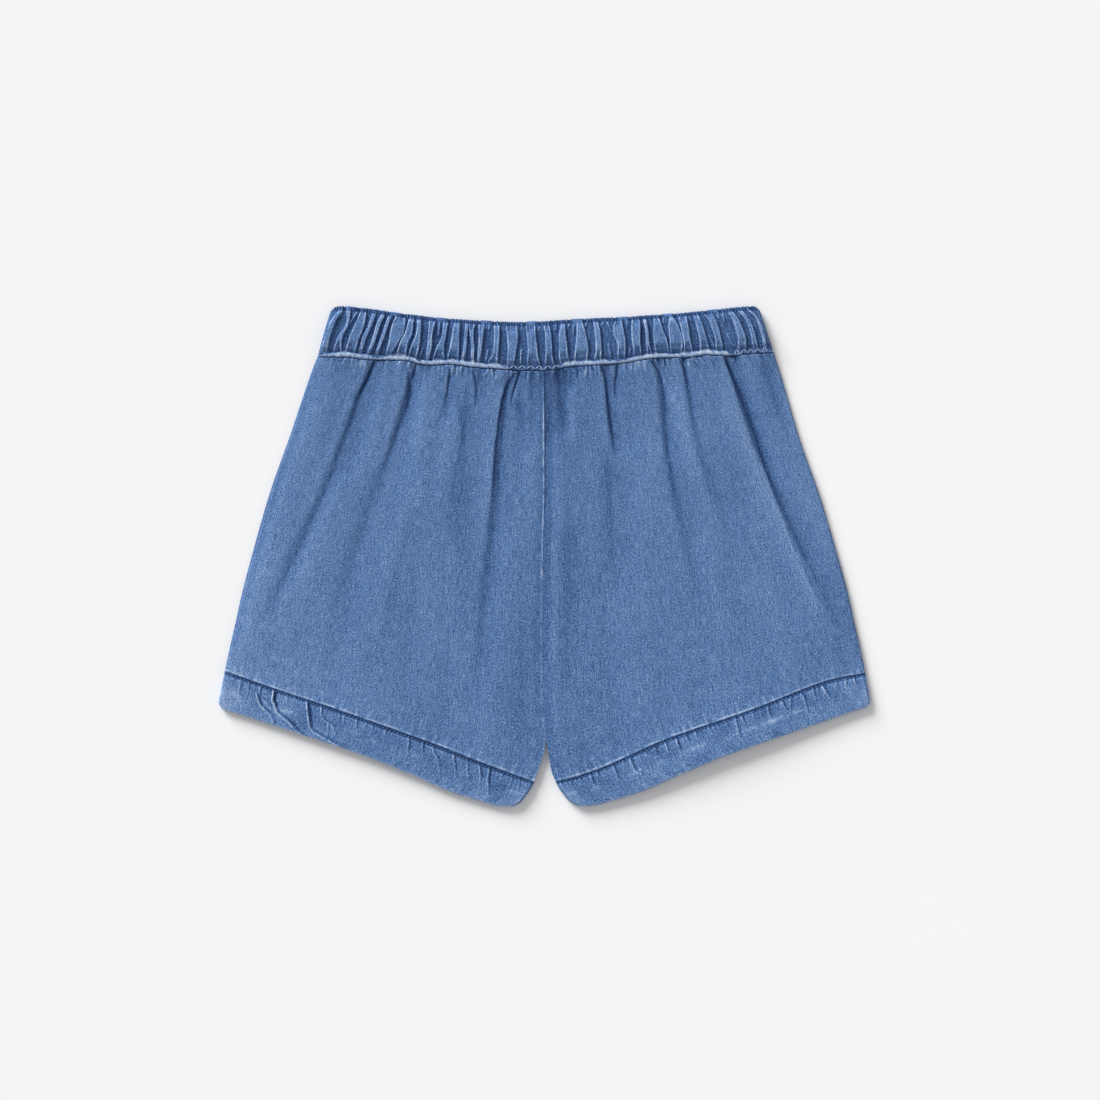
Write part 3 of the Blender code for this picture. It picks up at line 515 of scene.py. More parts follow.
# Soft lines of wear (+) and darkening (-): place, reach and strength. The narrow dark lines under
# the band's roll and beside the centre seam, the dark below the hem seams and the line above the
# welt are painted shade and shadow. Those of the back panels are in millimetres from a seam, those
# of the hems and the band in shares from their upper edge.
Line = namedtuple("Line", "at reach strength")
TUFTS_LINE = Line(3.0, 5.0, 1.0)
NOTCHES_LINE = Line(0.0, 3.5, -1.0)
WAIST_ROLL_SHADOW = Line(0.0, 0.5, -0.7)
TOPLINE = Line(1.45, 0.55, 1.0)
CENTRE_PALE = Line(0.35, 0.6, 1.0)
CENTRE_SEAM_SHADE = Line(0.4, 0.45, -1.0)
HEM_MIDLINE = Line(0.5, 0.06, 0.40)
HEM_TUCK_SHADOW = Line(0.0, 0.45, -0.32)
RIM_TIPS = Line(0.12, 0.035, 0.4)
BAND_ROLL_SHADOW = Line(1.0, 0.014, -0.9)
BAND_TOP_PALE = Line(0.0, 0.015, 1.1)
WELT_SHADOW = Line(0.9, 0.35, -0.40)
WELT_GAP = Line(0.945, 0.03, -0.7)

# Amounts of wear, and of painted shade along the band's top fold: a plain one, and how much an
# uneven field adds to it.
TUFTS = (0.25, 0.35)
NOTCHES = (0.30, 0.45)
TOPLINE_WORN = (0.95, 0.45)
CENTRE_WORN = (1.5, 0.5)
CREST_WORN = (1.15, 0.3)
RIM_WORN = (1.1, 0.3)
WELT_WORN = (1.35, 0.35)
TOP_FOLD_SHADE = (-1.55, 1.2)

# Strengths of wear and of painted shade and light: those of the back panels, of the hems, then of
# the band.
HEM_DITCH_SHADE = 0.55
CENTRE_SHADE = 0.25
CENTRE_PATCH = 0.30
# How strongly a hem's relief paints wear on its ridges and shade in its hollows.
HEM_WEAR_AND_SHADE = 0.6
# Painted shade in the hollows beside the hems' puckers.
HOLLOW_PAINTED_SHADE = 0.75
HEM_MOTTLE = 0.10
# The hems' lower edge rubbed pale, and painted lighter against the shade of its rounding.
HEM_EDGE_WEAR_AND_LIGHT = 1.1
HEM_STITCH_SHADE = 0.8
# How strongly the band's relief paints wear on its ridges and shade in its hollows.
BAND_WEAR_AND_SHADE = 0.2
# How much darker the grooves of the gathers are: deeper dye with painted shade.
GROOVE_DYE_AND_SHADE = 0.60
# How dark the painted shade beside the band's ridges is.
SHADE_BESIDE_RIDGES = 0.45
# Painted shadow just above the rolled welt.
ABOVE_WELT_SHADE = 0.80
WELT_RAGGED = 0.35
WELT_MORE = 0.5
WELT_SOFT = 0.6
SEAM_ROW = 0.988

# Steps of wear and painted shade: where each starts and where it is whole, measured as the lines
# are.
HEM_DITCH_STEP = (1.0, 0.6)
CENTRE_SHADE_STEP = (5.5, 4.0)
CENTRE_DARK_STEP = (0.5, 0.2)
CENTRE_PATCH_STEPS = ((14.5, 12.9), (0.208, 0.128))
HEM_EDGE_STEP = (0.94, 0.99)
HEM_STITCH_STEP = (0.10, 0.07)
GATHERS_STEPS = ((0.07, 0.11), (0.91, 0.875))
ABOVE_WELT_STEP = (0.87, 0.90)
WELT_STEPS = ((-0.1, 0.2), (1.0, 1.8))
TOP_FOLD_STEP = (0.105, 0.075)
BAND_TOP_STEPS = ((0.05, 0.08), (0.26, 0.23))

# ---------------------------------------------------------------- grids

PANEL_COLUMNS = 320
PANEL_ROWS = 236
ROW_GROWTH = 1.2
FRONT_COLUMNS = 120
FRONT_ROWS = 140
BAND_ROW_COUNT = 60
BAND_BACK_COLUMNS = 800
BAND_FRONT_COLUMNS = 300
HEM_BACK_COLUMNS = 520
HEM_ROW_COUNT = 44
HEM_FRONT_COLUMNS = 200
ROUND_STEPS = 8
EDGE_STEPS = (0.0, 0.12, 0.32, 0.60)
SEAM_STEPS = (0.0, 0.12, 0.32, 0.58, 0.86, 1.16, 1.48, 1.85, 2.4)
SHARP_ANGLE = np.radians(60.0)
# How far the grain runs on from a wall's outer side to its inner one, in metres.
EDGE_GRAIN = 0.0011
# The pieces' places on the cloth that they are cut from, and its stretch for each one.
CLOTH_STRETCH = 400.0
BACK_PLACE, FRONT_PLACE, HEM_PLACE, BAND_PLACE = 2, 7, 12, 17
BACK_SEED, FRONT_SEED, HEM_SEED, BAND_SEED = 11, 31, 51, 71
THINNEST = 0.22


def smooth_step(value):
    """Rise softly from 0 to 1 while value goes from 0 to 1."""
    value = np.clip(value, 0.0, 1.0)
    return value * value * (3.0 - 2.0 * value)


def rise(value, step):
    """Rise softly from 0 to 1 between a step's start and end; the end may be the lower one."""
    start, end = step
    return smooth_step((value - start) / (end - start))


def near(distance, reach):
    """Fall softly from 1 to 0 on both sides of a place."""
    return np.exp(-((distance / reach) ** 2))


def shown(line, distance):
    """How strongly a soft line shows at a distance."""
    return line.strength * near(distance - line.at, line.reach)


def amount(plain, field):
    """A plain amount with what an uneven field adds to it."""
    return plain[0] + plain[1] * field


def smooth_table(places, values, at):
    """Read a table between its rows along a soft curve that never overshoots them."""
    places = np.asarray(places, float)
    values = np.asarray(values, float)
    secants = np.diff(values) / np.diff(places)
    slopes = np.zeros_like(values)
    slopes[0], slopes[-1] = secants[0], secants[-1]
    same_way = secants[:-1] * secants[1:] > 0.0
    slopes[1:-1] = np.where(same_way, np.minimum(abs(secants[:-1]), abs(secants[1:])), 0.0)
    slopes[1:-1] *= np.sign(secants[1:])
    row = np.clip(np.searchsorted(places, at) - 1, 0, len(places) - 2)
    span = places[row + 1] - places[row]
    share = np.clip((at - places[row]) / span, 0.0, 1.0)
    blend = smooth_step(share)
    start = values[row] + slopes[row] * span * share
    end = values[row + 1] - slopes[row + 1] * span * (1.0 - share)
    return start * (1.0 - blend) + end * blend


def read_table(table, at):
    """Read a table of places and values."""
    return smooth_table(*zip(*table), at)


def bowed_edge(start, end, bows, half, upwards):
    """The line from start to end, bowed up or outwards by a table, as a function of a share."""
    table = [(0.0, 0.0), *((row.share, getattr(row, half.name)) for row in bows), (1.0, 0.0)]

    def points(share):
        bow = read_table(table, share)
        out = start[0] + (end[0] - start[0]) * share
        up = start[1] + (end[1] - start[1]) * share
        return np.stack([out, up + bow] if upwards else [out + bow, up], -1)

    return points


def inner_edge(half, up):
    """Distance of a half's inner edge from the middle line, at a height."""
    table = [(-row.up, half.side * getattr(row, half.name)) for row in INNER_EDGE]
    return read_table(table, -np.asarray(up, float)) + SEAM_GAP / 2


def coons(out_share, down_share, top, bottom, inner, outer):
    """Fill the space between four edges: out runs along top and bottom, down along the others."""
    u = out_share[..., None]
    v = down_share[..., None]
    ends = np.array([0.0, 1.0])
    corners = np.array([top(ends), bottom(ends)])
    blend = (1 - v) * top(out_share) + v * bottom(out_share)
    blend = blend + (1 - u) * inner(down_share) + u * outer(down_share)
    flat = (1 - v) * ((1 - u) * corners[0, 0] + u * corners[0, 1])
    flat = flat + v * ((1 - u) * corners[1, 0] + u * corners[1, 1])
    return blend - flat


def waist_wave(along):
    """How far the waist seam waves up, at a share of the band's length."""
    return read_table(WELT_WAVES, along * 100.0)


def hem_length(half):
    """Length of a hem's edge, from its toe to the side."""
    return half.hem_corner[0] - half.hem_toe[0]


def panel_plan(half, out_share, down_share):
    """Plan position of points on a leg panel, from centre seam to side and waist to hem seam."""
    waist, hem = ((inner_edge(half, up).item(), up) for up in (WAIST_UP, HEM_SEAM_UP))

    def inner(share):
        up = WAIST_UP + (HEM_SEAM_UP - WAIST_UP) * share
        return np.stack([inner_edge(half, up), up], -1)

    plan = coons(
        out_share,
        down_share,
        bowed_edge(waist, half.waist, WAIST_BOWS, half, True),
        bowed_edge(hem, half.hem_seam, HEM_SEAM_BOWS, half, True),
        inner,
        bowed_edge(half.waist, half.hem_seam, SIDE_BOWS, half, False),
    )
    near_waist = np.exp(-down_share * PANEL_LENGTH / WAVE_REACH)
    plan[..., 1] += waist_wave(0.5 + 0.5 * half.side * out_share) * near_waist
    return plan * np.array([half.side, 1.0])


def corner_pulls(from_end, from_edge):
    """How far to draw a place near a square corner in, from its end and from its edge."""
    across = np.maximum(CORNER_ROUND - from_end, 0.0)
    along = np.maximum(CORNER_ROUND - from_edge, 0.0)
    reach = np.maximum(np.hypot(across, along), 1e-6)
    pull = np.where(np.minimum(across, along) > 0.0, 1.0 - np.maximum(across, along) / reach, 0.0)
    return across * pull, along * pull


def hem_plan(half, out_share, down_share):
    """Plan position of points on a hem, from its toe to the side and from its seam to its edge."""
    seam_inner = (inner_edge(half, HEM_SEAM_UP).item(), HEM_SEAM_UP)
    start = SEAM_GAP / (half.hem_seam[1] - half.hem_corner[1])
    length = hem_length(half)
    pulls = corner_pulls((1.0 - out_share) * length, (1.0 - down_share) * HEM_DEPTH)
    out_share, down_share = out_share - pulls[0] / length, down_share - pulls[1] / HEM_DEPTH
    plan = coons(
        out_share,
        start + (1.0 - start) * down_share,
        bowed_edge(seam_inner, half.hem_seam, HEM_SEAM_BOWS, half, True),
        bowed_edge(half.hem_toe, half.hem_corner, HEM_EDGE_BOWS, half, True),
        bowed_edge(seam_inner, half.hem_toe, TOE_BOWS, half, False),
        bowed_edge(half.hem_seam, half.hem_corner, (), half, False),
    )
    return plan * np.array([half.side, 1.0])


def band_plan(along, down):
    """Plan position of points on the waistband, from its left end (0) to its right end (1)."""
    from_end = np.minimum(along, 1.0 - along) * BAND_LENGTH
    in_from_end, in_from_edge = corner_pulls(from_end, down * BAND_DEPTH)
    along = along + np.where(along < 0.5, in_from_end, -in_from_end) / BAND_LENGTH
    down = down + in_from_edge / BAND_DEPTH
    depth = ((1.0 - SEAM_GAP / BAND_DEPTH) * down)[..., None]
    plans = []
    for half in HALVES:
        share = np.clip(half.side * (2.0 * along - 1.0), 0.0, 1.0)
        top = bowed_edge((0.0, BAND_TOP_UP), half.band_top, BAND_TOP_BOWS, half, True)
        bottom = bowed_edge((0.0, WAIST_UP), half.waist, WAIST_BOWS, half, True)
        place = (1.0 - depth) * top(share) + depth * bottom(share)
        plans.append(place * np.array([half.side, 1.0]))
    plan = np.where((along < 0.5)[..., None], *plans)
    plan[..., 1] += waist_wave(along) * np.exp(-(1.0 - down) * BAND_DEPTH / WAVE_REACH)
    plan[..., 1] += TOOTH_HEIGHT * edge_teeth(along) * np.exp(-down * BAND_DEPTH)
    return plan


def fold_relief(folds, out_share, down_share, breadth, side=0):
    """Sum of troughs and ridges, each on its own slanting path.

    With a side, the cloth left of each trough hangs over it, so that flank is the steeper one.
    """
    relief = np.zeros_like(out_share)
    for fold in folds:
        along = np.clip((down_share - fold.start) / (fold.end - fold.start), 0.0, 1.0)
        place = fold.at_start * (1 - along) * (1 - 2 * along)
        place = place + fold.at_middle * 4 * along * (1 - along)
        place = place + fold.at_end * along * (2 * along - 1)
        width = fold.width_start + (fold.width_end - fold.width_start) * along
        starts = 1.0 if fold.start == 0.0 else smooth_step(along / FADE_IN)
        strength = starts * smooth_step((1.0 - along) / FADE_OUT)
        strength = strength * (1.0 - (1.0 - fold.keep) * smooth_step(2.0 * along))
        distance = (out_share - place) * breadth / width
        if side and fold.height < 0.0:
            distance = distance - side * FLANK_SHIFT
            distance = distance / np.where(distance * side < 0.0, STEEP_FLANK, SOFT_FLANK)
        relief = relief + fold.height * strength * np.exp(-np.abs(distance) ** CREASE_POWER)
    return relief


def crease_shade(half, out_share, down_share, breadth):
    """How deep in a crease each place of a back panel is, from 0 to 1; it sinks the cloth and sets
    the crease's painted shade.
    """
    shade = np.zeros_like(out_share)
    for crease in PANEL_CREASES[half.name]:
        downs, outs, darks, lefts, rights = np.array(crease).T / CREASE_UNITS
        at = np.clip(down_share, downs[0], downs[-1])
        aside = (out_share - smooth_table(downs, outs, at)) * breadth * half.side
        to_left, to_right = smooth_table(downs, lefts, at), smooth_table(downs, rights, at)
        reach = np.where(aside < 0.0, to_left, to_right)
        dark = smooth_table(downs, darks, at) * (at == down_share)
        dark = dark * (1.0 - CREASE_FADE * rise(at, CREASE_FADE_STEP))
        shade = np.maximum(shade, dark * np.exp(-np.abs(aside / reach) ** CREASE_SHAPE))
    return shade


def blurred(field, reach, axis, mode="symmetric"):
    """A field averaged softly along one axis; reach is in grid steps."""
    span = max(1, int(np.ceil(3 * reach)))
    widths = [(0, 0), (0, 0)]
    widths[axis] = (span, span)
    padded = np.pad(field, widths, mode=mode)
    weights = np.exp(-0.5 * (np.arange(-span, span + 1) / reach) ** 2)
    result = np.zeros_like(field)
    for first, weight in enumerate(weights / weights.sum()):
        places = np.arange(first, first + field.shape[axis])
        result += weight * np.take(padded, places, axis=axis)
    return result


def wear_and_shade_of(height, row_step, column_step, mode="symmetric"):
    """How far a surface stands out of what surrounds it: ridges rub pale, and hollows are painted
    dark, partly deeper dye and partly painted shade.
    """
    wear = np.zeros_like(height)
    for reach, depth, share in WEAR_AND_SHADE_SCALES:
        around = blurred(height, reach / row_step, 0)
        around = blurred(around, reach / column_step, 1, mode)
        wear += share * np.tanh((height - around) / depth)
    return wear


def soft_noise(random, shape, row_reach, column_reach):
    """Seeded uneven field with a spread of one, smooth over the given numbers of grid steps."""
    rows, columns = shape
    noise = random.normal(size=(rows, columns))
    noise = blurred(blurred(noise, row_reach, 0, "wrap"), column_reach, 1, "wrap")
    return noise / noise.std()


def tone_at(plan):
    """How much paler or darker the cloth is at places of the garment."""
    tone_shift = np.zeros(plan.shape[:-1])
    for patch in TONE_PATCHES:
        across = (plan[..., 0] - patch.x) / patch.reach_x
        along = (plan[..., 1] - patch.up) / patch.reach_up
        tone_shift += patch.strength * np.exp(-0.5 * (across**2 + along**2))
    return tone_shift


Sway = namedtuple("Sway", "reach turns phase grow rim_left rim_right")


def gather_sways(random):
    """How each gather strays from its path, and how much its two rims are rubbed."""
    return [
        Sway(
            reach=random.uniform(0.0, 0.25),
            turns=random.uniform(0.6, 2.2),
            phase=random.random(),
            grow=random.uniform(0.82, 1.05),
            rim_left=random.uniform(0.65, 1.1),
            rim_right=random.uniform(0.65, 1.1),
        )
        for _ in RIDGES
    ]


def gather_form(along, down, sways):
    """Height of the gathers, from 0 in a groove to 1 on a ridge, how far a place is on a ridge's
    rim, and how much painted shade falls in the crease beside one, more on its side away from the
    light."""
    place = along * BAND_LENGTH
    unit = BAND_LENGTH / 100.0
    row = np.clip(down, RIM_ROWS[0], RIM_ROWS[-1])
    height, rims, painted_crease_shade = (np.zeros_like(place) for _ in range(3))
    near_top, near_seam = (rise(down, step) for step in SPLIT_STEPS)
    for ridge, sway in zip(RIDGES, sways):
        swing = sway.reach * np.sin(2 * np.pi * (sway.turns * down + sway.phase))
        left = place - smooth_table(RIM_ROWS, ridge.left, row) * unit - swing
        right = place - smooth_table(RIM_ROWS, ridge.right, row) * unit - swing
        outside = np.maximum(-left, right)
        split = ridge.split_top * near_top + ridge.split_seam * near_seam
        hollow = SPLIT_DEPTH * split * smooth_step((-outside - 0.1) / 0.6)
        form = sway.grow * smooth_step(1.0 - outside / FLANK) * (1.0 - hollow)
        height = np.maximum(height, form)
        rims = np.maximum(rims, sway.rim_left * near(left, RIM_WIDTH))
        rims = np.maximum(rims, sway.rim_right * near(right, RIM_WIDTH))
        # Painted shade beside each ridge, weaker on the lit side.
        beside = near(outside - FLANK, GROOVE_REACH) * np.where(right > 0.0, 1.0, LIT_GROOVE)
        painted_crease_shade = np.maximum(painted_crease_shade, beside)
    painted_crease_shade = painted_crease_shade * (1.0 - np.minimum(height, 1.0))
    for crest in CRESTS:
        share = np.clip((down - crest.start) / (crest.end - crest.start), 0.0, 1.0)
        aside = place - (crest.at_start + (crest.at_end - crest.at_start) * share) * unit
        shows = crest.strength * smooth_step(5.0 * share) * smooth_step(5.0 * (1.0 - share))
        line = shows * near(aside, CREST_WIDTH)
        height = np.maximum(height, CREST_RISE * line)
        rims = np.maximum(rims, line)
    return height, rims, painted_crease_shade


def gather_ridges(along):
    """Height of the gathers where they meet the waist seam."""
    place = along * 100.0
    height = np.zeros_like(place)
    for ridge in RIDGES:
        outside = np.maximum(ridge.left[-1] - place, place - ridge.right[-1])
        height = np.maximum(height, smooth_step(0.5 - outside / 0.5))
    return height


def leg_lift(half, out_share):
    """How far the upper layer of a leg stands up at its hem, most near the middle."""
    return HEM_LIFT[half.name] * np.sin(np.pi * np.clip(out_share, 0.0, 1.0)) ** 2


def panel_breadth(half, down_share):
    """Breadth of a leg panel at a share of the way down."""
    return half.waist[0] + (half.hem_seam[0] - half.waist[0]) * down_share


def back_underside(half, out_share, down_share):
    """Height of a back panel's underside above the surface."""
    breadth = panel_breadth(half, down_share)
    folds = PANEL_FOLDS[half.name]
    relief = MEAN_FOLD + fold_relief(folds, out_share, down_share, breadth, half.side)
    relief = MOST_FOLD * smooth_step(0.5 + (relief / MOST_FOLD - 0.5) * FOLD_GAIN)
    to_side = (1.0 - out_share) * breadth / SEAM_CALM
    relief = relief * smooth_step(SIDE_FOLD_SHARE + (1.0 - SIDE_FOLD_SHARE) * to_side)
    calm = smooth_step(out_share * breadth / SEAM_CALM)
    relief = relief * calm + CENTRE_FOLD * (1.0 - calm)
    from_waist = down_share * PANEL_LENGTH
    from_hem = (1.0 - down_share) * PANEL_LENGTH
    near_hem = np.exp(-from_hem / HEM_LOFT_REACH)
    loft = WAIST_LOFT * np.exp(-from_waist / WAIST_LOFT_REACH)
    loft = loft + (HEM_LOFT + LIFT_AT_SEAM * leg_lift(half, out_share)) * near_hem
    relief = relief * (1.0 - (1.0 - HEM_CALM) * near_hem)
    return PLY + SLOT + relief + loft


def lowest_near(heights):
    """The lowest of each second grid point and its neighbours, so that a wall over it is whole."""
    rows, columns = heights.shape
    padded = np.pad(heights, 1, mode="edge")
    lowest = heights
    for row in range(3):
        for column in range(3):
            lowest = np.minimum(lowest, padded[row:row + rows, column:column + columns])
    return lowest[::2, ::2]


def edged(count, breadth, end_steps=EDGE_STEPS):
    """Grid shares from 0 to 1 in count steps, with narrow steps where the edges round off."""
    edge, end = np.array(EDGE_STEPS) / breadth, np.array(end_steps) / breadth
    inside = np.linspace(edge[-1], 1.0 - end[-1], count - len(edge) - len(end) + 3)
    return np.concatenate([edge[:-1], inside, 1.0 - end[-2::-1]])


def rounded_edge(distance, radius, drop):
    """How far a surface falls near an edge, in a quarter round."""
    share = np.clip(1.0 - distance / radius, 0.0, 1.0)
    return drop * (1.0 - np.sqrt(1.0 - share**2))


def raised(plan, height):
    """Points in space from places in plan and heights."""
    return np.concatenate([plan, height[..., None]], -1)


def cut_place(across, along):
    """Places on the cut cloth in metres, from millimetres across and along its grain."""
    return np.stack([across * MM, along * MM], -1)


# ---------------------------------------------------------------- meshes


def bare_mesh(name, points, faces, material):
    """A mesh of points in millimetres, given up from the hems."""
    mesh = bpy.data.meshes.new(name)
    placed = (points - (0.0, MIDDLE_UP, 0.0)) * MM
    mesh.from_pydata(placed.tolist(), [], faces)
    mesh.materials.append(material)
    return mesh


def add_object(name, mesh):
    """Put a mesh in the scene."""
    piece = bpy.data.objects.new(name, mesh)
    bpy.context.scene.collection.objects.link(piece)
    return piece


def add_mesh(name, points, faces, grain, wear, material):
    """Make a closed piece; grain is each point's place on the cut cloth, and the last field says
    how pale real wear and how dark painted shade make each point.
    """
    mesh = bare_mesh(name, points, faces, material)
    layer = mesh.attributes.new("wear", "FLOAT", "POINT")
    layer.data.foreach_set("value", wear.astype(np.float32))
    corners = np.empty(len(mesh.loops), np.int32)
    mesh.loops.foreach_get("vertex_index", corners)
    chart = mesh.uv_layers.new(name="grain")
    chart.data.foreach_set("uv", grain[corners].astype(np.float32).ravel())
    shape = bmesh.new()
    shape.from_mesh(mesh)
    bmesh.ops.recalc_face_normals(shape, faces=shape.faces[:])
    shape.to_mesh(mesh)
    shape.free()
    mesh.shade_smooth()
    mesh.set_sharp_from_angle(angle=SHARP_ANGLE)
    return add_object(name, mesh)


def rim_indices(rows, columns, first):
    """Point numbers round a grid's rim."""
    ids = first + np.arange(rows * columns).reshape(rows, columns)
    return np.concatenate([ids[0, :-1], ids[:-1, -1], ids[-1, :0:-1], ids[:0:-1, 0]]).tolist()


def grid_faces(rows, columns, first):
    """Four-sided faces of a grid of points."""
    ids = first + np.arange(rows * columns).reshape(rows, columns)
    corners = [ids[:-1, :-1], ids[:-1, 1:], ids[1:, 1:], ids[1:, :-1]]
    return np.stack(corners, -1).reshape(-1, 4).tolist()


def sheet_mesh(name, outer, inner, grain, wear, material):
    """Close a wall between a fine outer grid and an inner grid of every second point."""
    rows, columns = outer.shape[:2]
    inner_rows, inner_columns = inner.shape[:2]
    first_inner = rows * columns
    points = np.concatenate([outer.reshape(-1, 3), inner.reshape(-1, 3)])
    faces = grid_faces(rows, columns, 0)
    faces += grid_faces(inner_rows, inner_columns, first_inner)
    outer_rim = rim_indices(rows, columns, 0)
    inner_rim = rim_indices(inner_rows, inner_columns, first_inner)
    for step, low in enumerate(inner_rim):
        next_low = inner_rim[(step + 1) % len(inner_rim)]
        left, middle = outer_rim[2 * step], outer_rim[2 * step + 1]
        right = outer_rim[(2 * step + 2) % len(outer_rim)]
        faces += [(left, middle, low), (middle, next_low, low), (middle, right, next_low)]
    charts = np.concatenate([grain.reshape(-1, 2), grain[::2, ::2].reshape(-1, 2) + EDGE_GRAIN])
    wears_and_shades = np.concatenate([wear.ravel(), np.zeros(inner_rows * inner_columns)])
    return add_mesh(name, points, faces, charts, wears_and_shades, material)


def ring_mesh(name, outer, inner, grain, wear, material):
    """Close a wall between an outer ring of many rows and an inner ring of two."""
    rows, columns = outer.shape[:2]
    first_inner = rows * columns
    points = np.concatenate([outer.reshape(-1, 3), inner.reshape(-1, 3)])
    last_row = (rows - 1) * columns
    strips = [(row * columns, (row + 1) * columns) for row in range(rows - 1)]
    strips += [(first_inner, first_inner + columns)]
    strips += [(0, first_inner), (last_row, first_inner + columns)]
    here = np.arange(columns)
    onward = (here + 1) % columns
    faces = []
    for first, second in strips:
        strip = np.stack([first + here, first + onward, second + onward, second + here], -1)
        faces += strip.tolist()
    charts = np.concatenate([grain.reshape(-1, 2), grain[[0, -1]].reshape(-1, 2) + EDGE_GRAIN])
    wears_and_shades = np.concatenate([wear.ravel(), np.zeros(2 * columns)])
    return add_mesh(name, points, faces, charts, wears_and_shades, material)


Loop = namedtuple("Loop", "length depth rows back front end_round end_wall end_wear plies")


def hem_loop(half):
    """Sizes and grid of a hem's flattened loop."""
    return Loop(
        hem_length(half), HEM_DEPTH, HEM_ROW_COUNT, HEM_BACK_COLUMNS, HEM_FRONT_COLUMNS,
        HEM_END_ROUND, HEM_END_WALL, HEM_END_WEAR_AND_LIGHT, HEM_PLIES,
    )


def ring_grid(loop, plan, top, slot_back, front):
    """Outer and inner points of a flattened loop, its shares along and down, and its wear with its
    painted shade.

    The loop runs along its back, round its end, along its front on the surface and round its
    other end. top and front give the heights of its back and front, slot_back that of the gap.
    """
    turn = np.linspace(0.0, np.pi, ROUND_STEPS + 2)[1:-1]
    bend = loop.end_round / loop.length
    inset = bend - loop.end_wall / loop.length
    backs = np.linspace(bend, 1.0 - bend, loop.back + 1)
    fronts = np.linspace(1.0 - bend, bend, loop.front + 1)
    tuck = bend * (1.0 - np.sin(turn))
    outer_along = np.concatenate([backs, 1.0 - tuck, fronts, tuck])
    swell = inset * np.sin(turn)
    inner_along = np.concatenate([backs, 1.0 - bend + swell, fronts, bend - swell])
    rows_down = edged(loop.rows, loop.depth)
    along, down = np.meshgrid(outer_along, rows_down)
    inner_places = np.meshgrid(inner_along, rows_down)[0]
    end_back, first_front = loop.back + 1, loop.back + 1 + ROUND_STEPS
    last = first_front + loop.front + 1
    outer_height, inner_height = np.zeros_like(along), np.zeros_like(along)
    outer_height[:, :end_back] = top(along[:, :end_back], down[:, :end_back])
    inner_height[:, :end_back] = slot_back(along[:, :end_back], down[:, :end_back])
    on_front = slice(first_front, last)
    outer_height[:, on_front] = front(along[:, on_front], down[:, on_front])
    inner_height[:, on_front] = loop.plies
    lift = 0.5 * (1.0 + np.cos(turn))
    for heights in (outer_height, inner_height):
        right, left = heights[:, first_front][:, None], heights[:, last - 1][:, None]
        heights[:, end_back:first_front] = right + (heights[:, loop.back][:, None] - right) * lift
        heights[:, last:] = left + (heights[:, 0][:, None] - left) * lift[::-1]
    faced = outer_height.copy()
    faced[:, first_front:] *= -1.0
    wear = wear_and_shade_of(faced, loop.depth / loop.rows, loop.length / loop.back, "wrap")
    # The rounded ends take a constant paleness; on the hems it is partly painted light.
    wear[:, loop.back:first_front] = loop.end_wear
    wear[:, last - 1:] = loop.end_wear
    outer = raised(plan(along, down), outer_height)
    inner = raised(plan(inner_places, down), inner_height)
    return outer, inner[[0, -1]], along, down, wear


# ---------------------------------------------------------------- materials


def tint(red, green, blue):
    """A screen colour given from 0 to 255, as the shader takes it."""
    shares = np.array([red, green, blue]) / 255.0
    low = shares / 12.92
    high = ((shares + 0.055) / 1.055) ** 2.4
    return tuple(float(share) for share in np.where(shares <= 0.04045, low, high))


class Worked:
    """A socket in a material; writing an expression with it adds the Math nodes."""

    def __init__(self, cloth, socket):
        self.cloth = cloth
        self.socket = socket

    def math(self, operation, *values):
        node = self.cloth.add("ShaderNodeMath", {"operation": operation}, dict(enumerate(values)))
        return Worked(self.cloth, node.outputs[0])

    def __add__(self, other):
        return self.math("ADD", self, other)

    def __radd__(self, other):
        return self.math("ADD", other, self)

    def __sub__(self, other):
        return self.math("SUBTRACT", self, other)

    def __rsub__(self, other):
        return self.math("SUBTRACT", other, self)

    def __mul__(self, other):
        return self.math("MULTIPLY", self, other)

    def sine(self):
        return self.math("SINE", self)


class Cloth:
    """One material and its nodes."""

    def __init__(self, name):
        self.material = bpy.data.materials.new(name)
        self.material.use_nodes = True
        self.tree = self.material.node_tree
        self.shader = self.tree.nodes["Principled BSDF"]

    def add(self, kind, settings=None, sockets=None):
        """Add a node: its settings first, then what its sockets hold or are linked to."""
        node = self.tree.nodes.new(kind)
        for setting, value in (settings or {}).items():
            if setting == "stops":
                self.set_stops(node.color_ramp, value)
            else:
                setattr(node, setting, value)
        for socket, value in (sockets or {}).items():
            self.feed(node.inputs[socket], value)
        return node

    def set_stops(self, ramp, stops):
        """Put a ramp's colours at their places."""
        while len(ramp.elements) < len(stops):
            ramp.elements.new(1.0)
        for element, (place, colour) in zip(ramp.elements, stops):
            element.position = place
            element.color = (*colour, 1.0)

    def feed(self, socket, value):
        """Link a socket to another or set what it holds."""
        if isinstance(value, Worked):
            self.tree.links.new(value.socket, socket)
        elif isinstance(value, bpy.types.NodeSocket):
            self.tree.links.new(value, socket)
        else:
            socket.default_value = value

    def noise(self, place, scales, detail=2.0):
        """Uneven pattern about 0, stretched over the cloth by a scale for each direction."""
        stretched = self.add(
            "ShaderNodeVectorMath", {"operation": "MULTIPLY"}, {0: place, 1: (*scales, 1.0)}
        )
        sockets = {
            "Vector": stretched.outputs[0], "Scale": 1.0, "Detail": detail, "Roughness": 0.5
        }
        node = self.add("ShaderNodeTexNoise", {"noise_dimensions": "2D"}, sockets)
        return Worked(self, node.outputs[0]) - 0.5


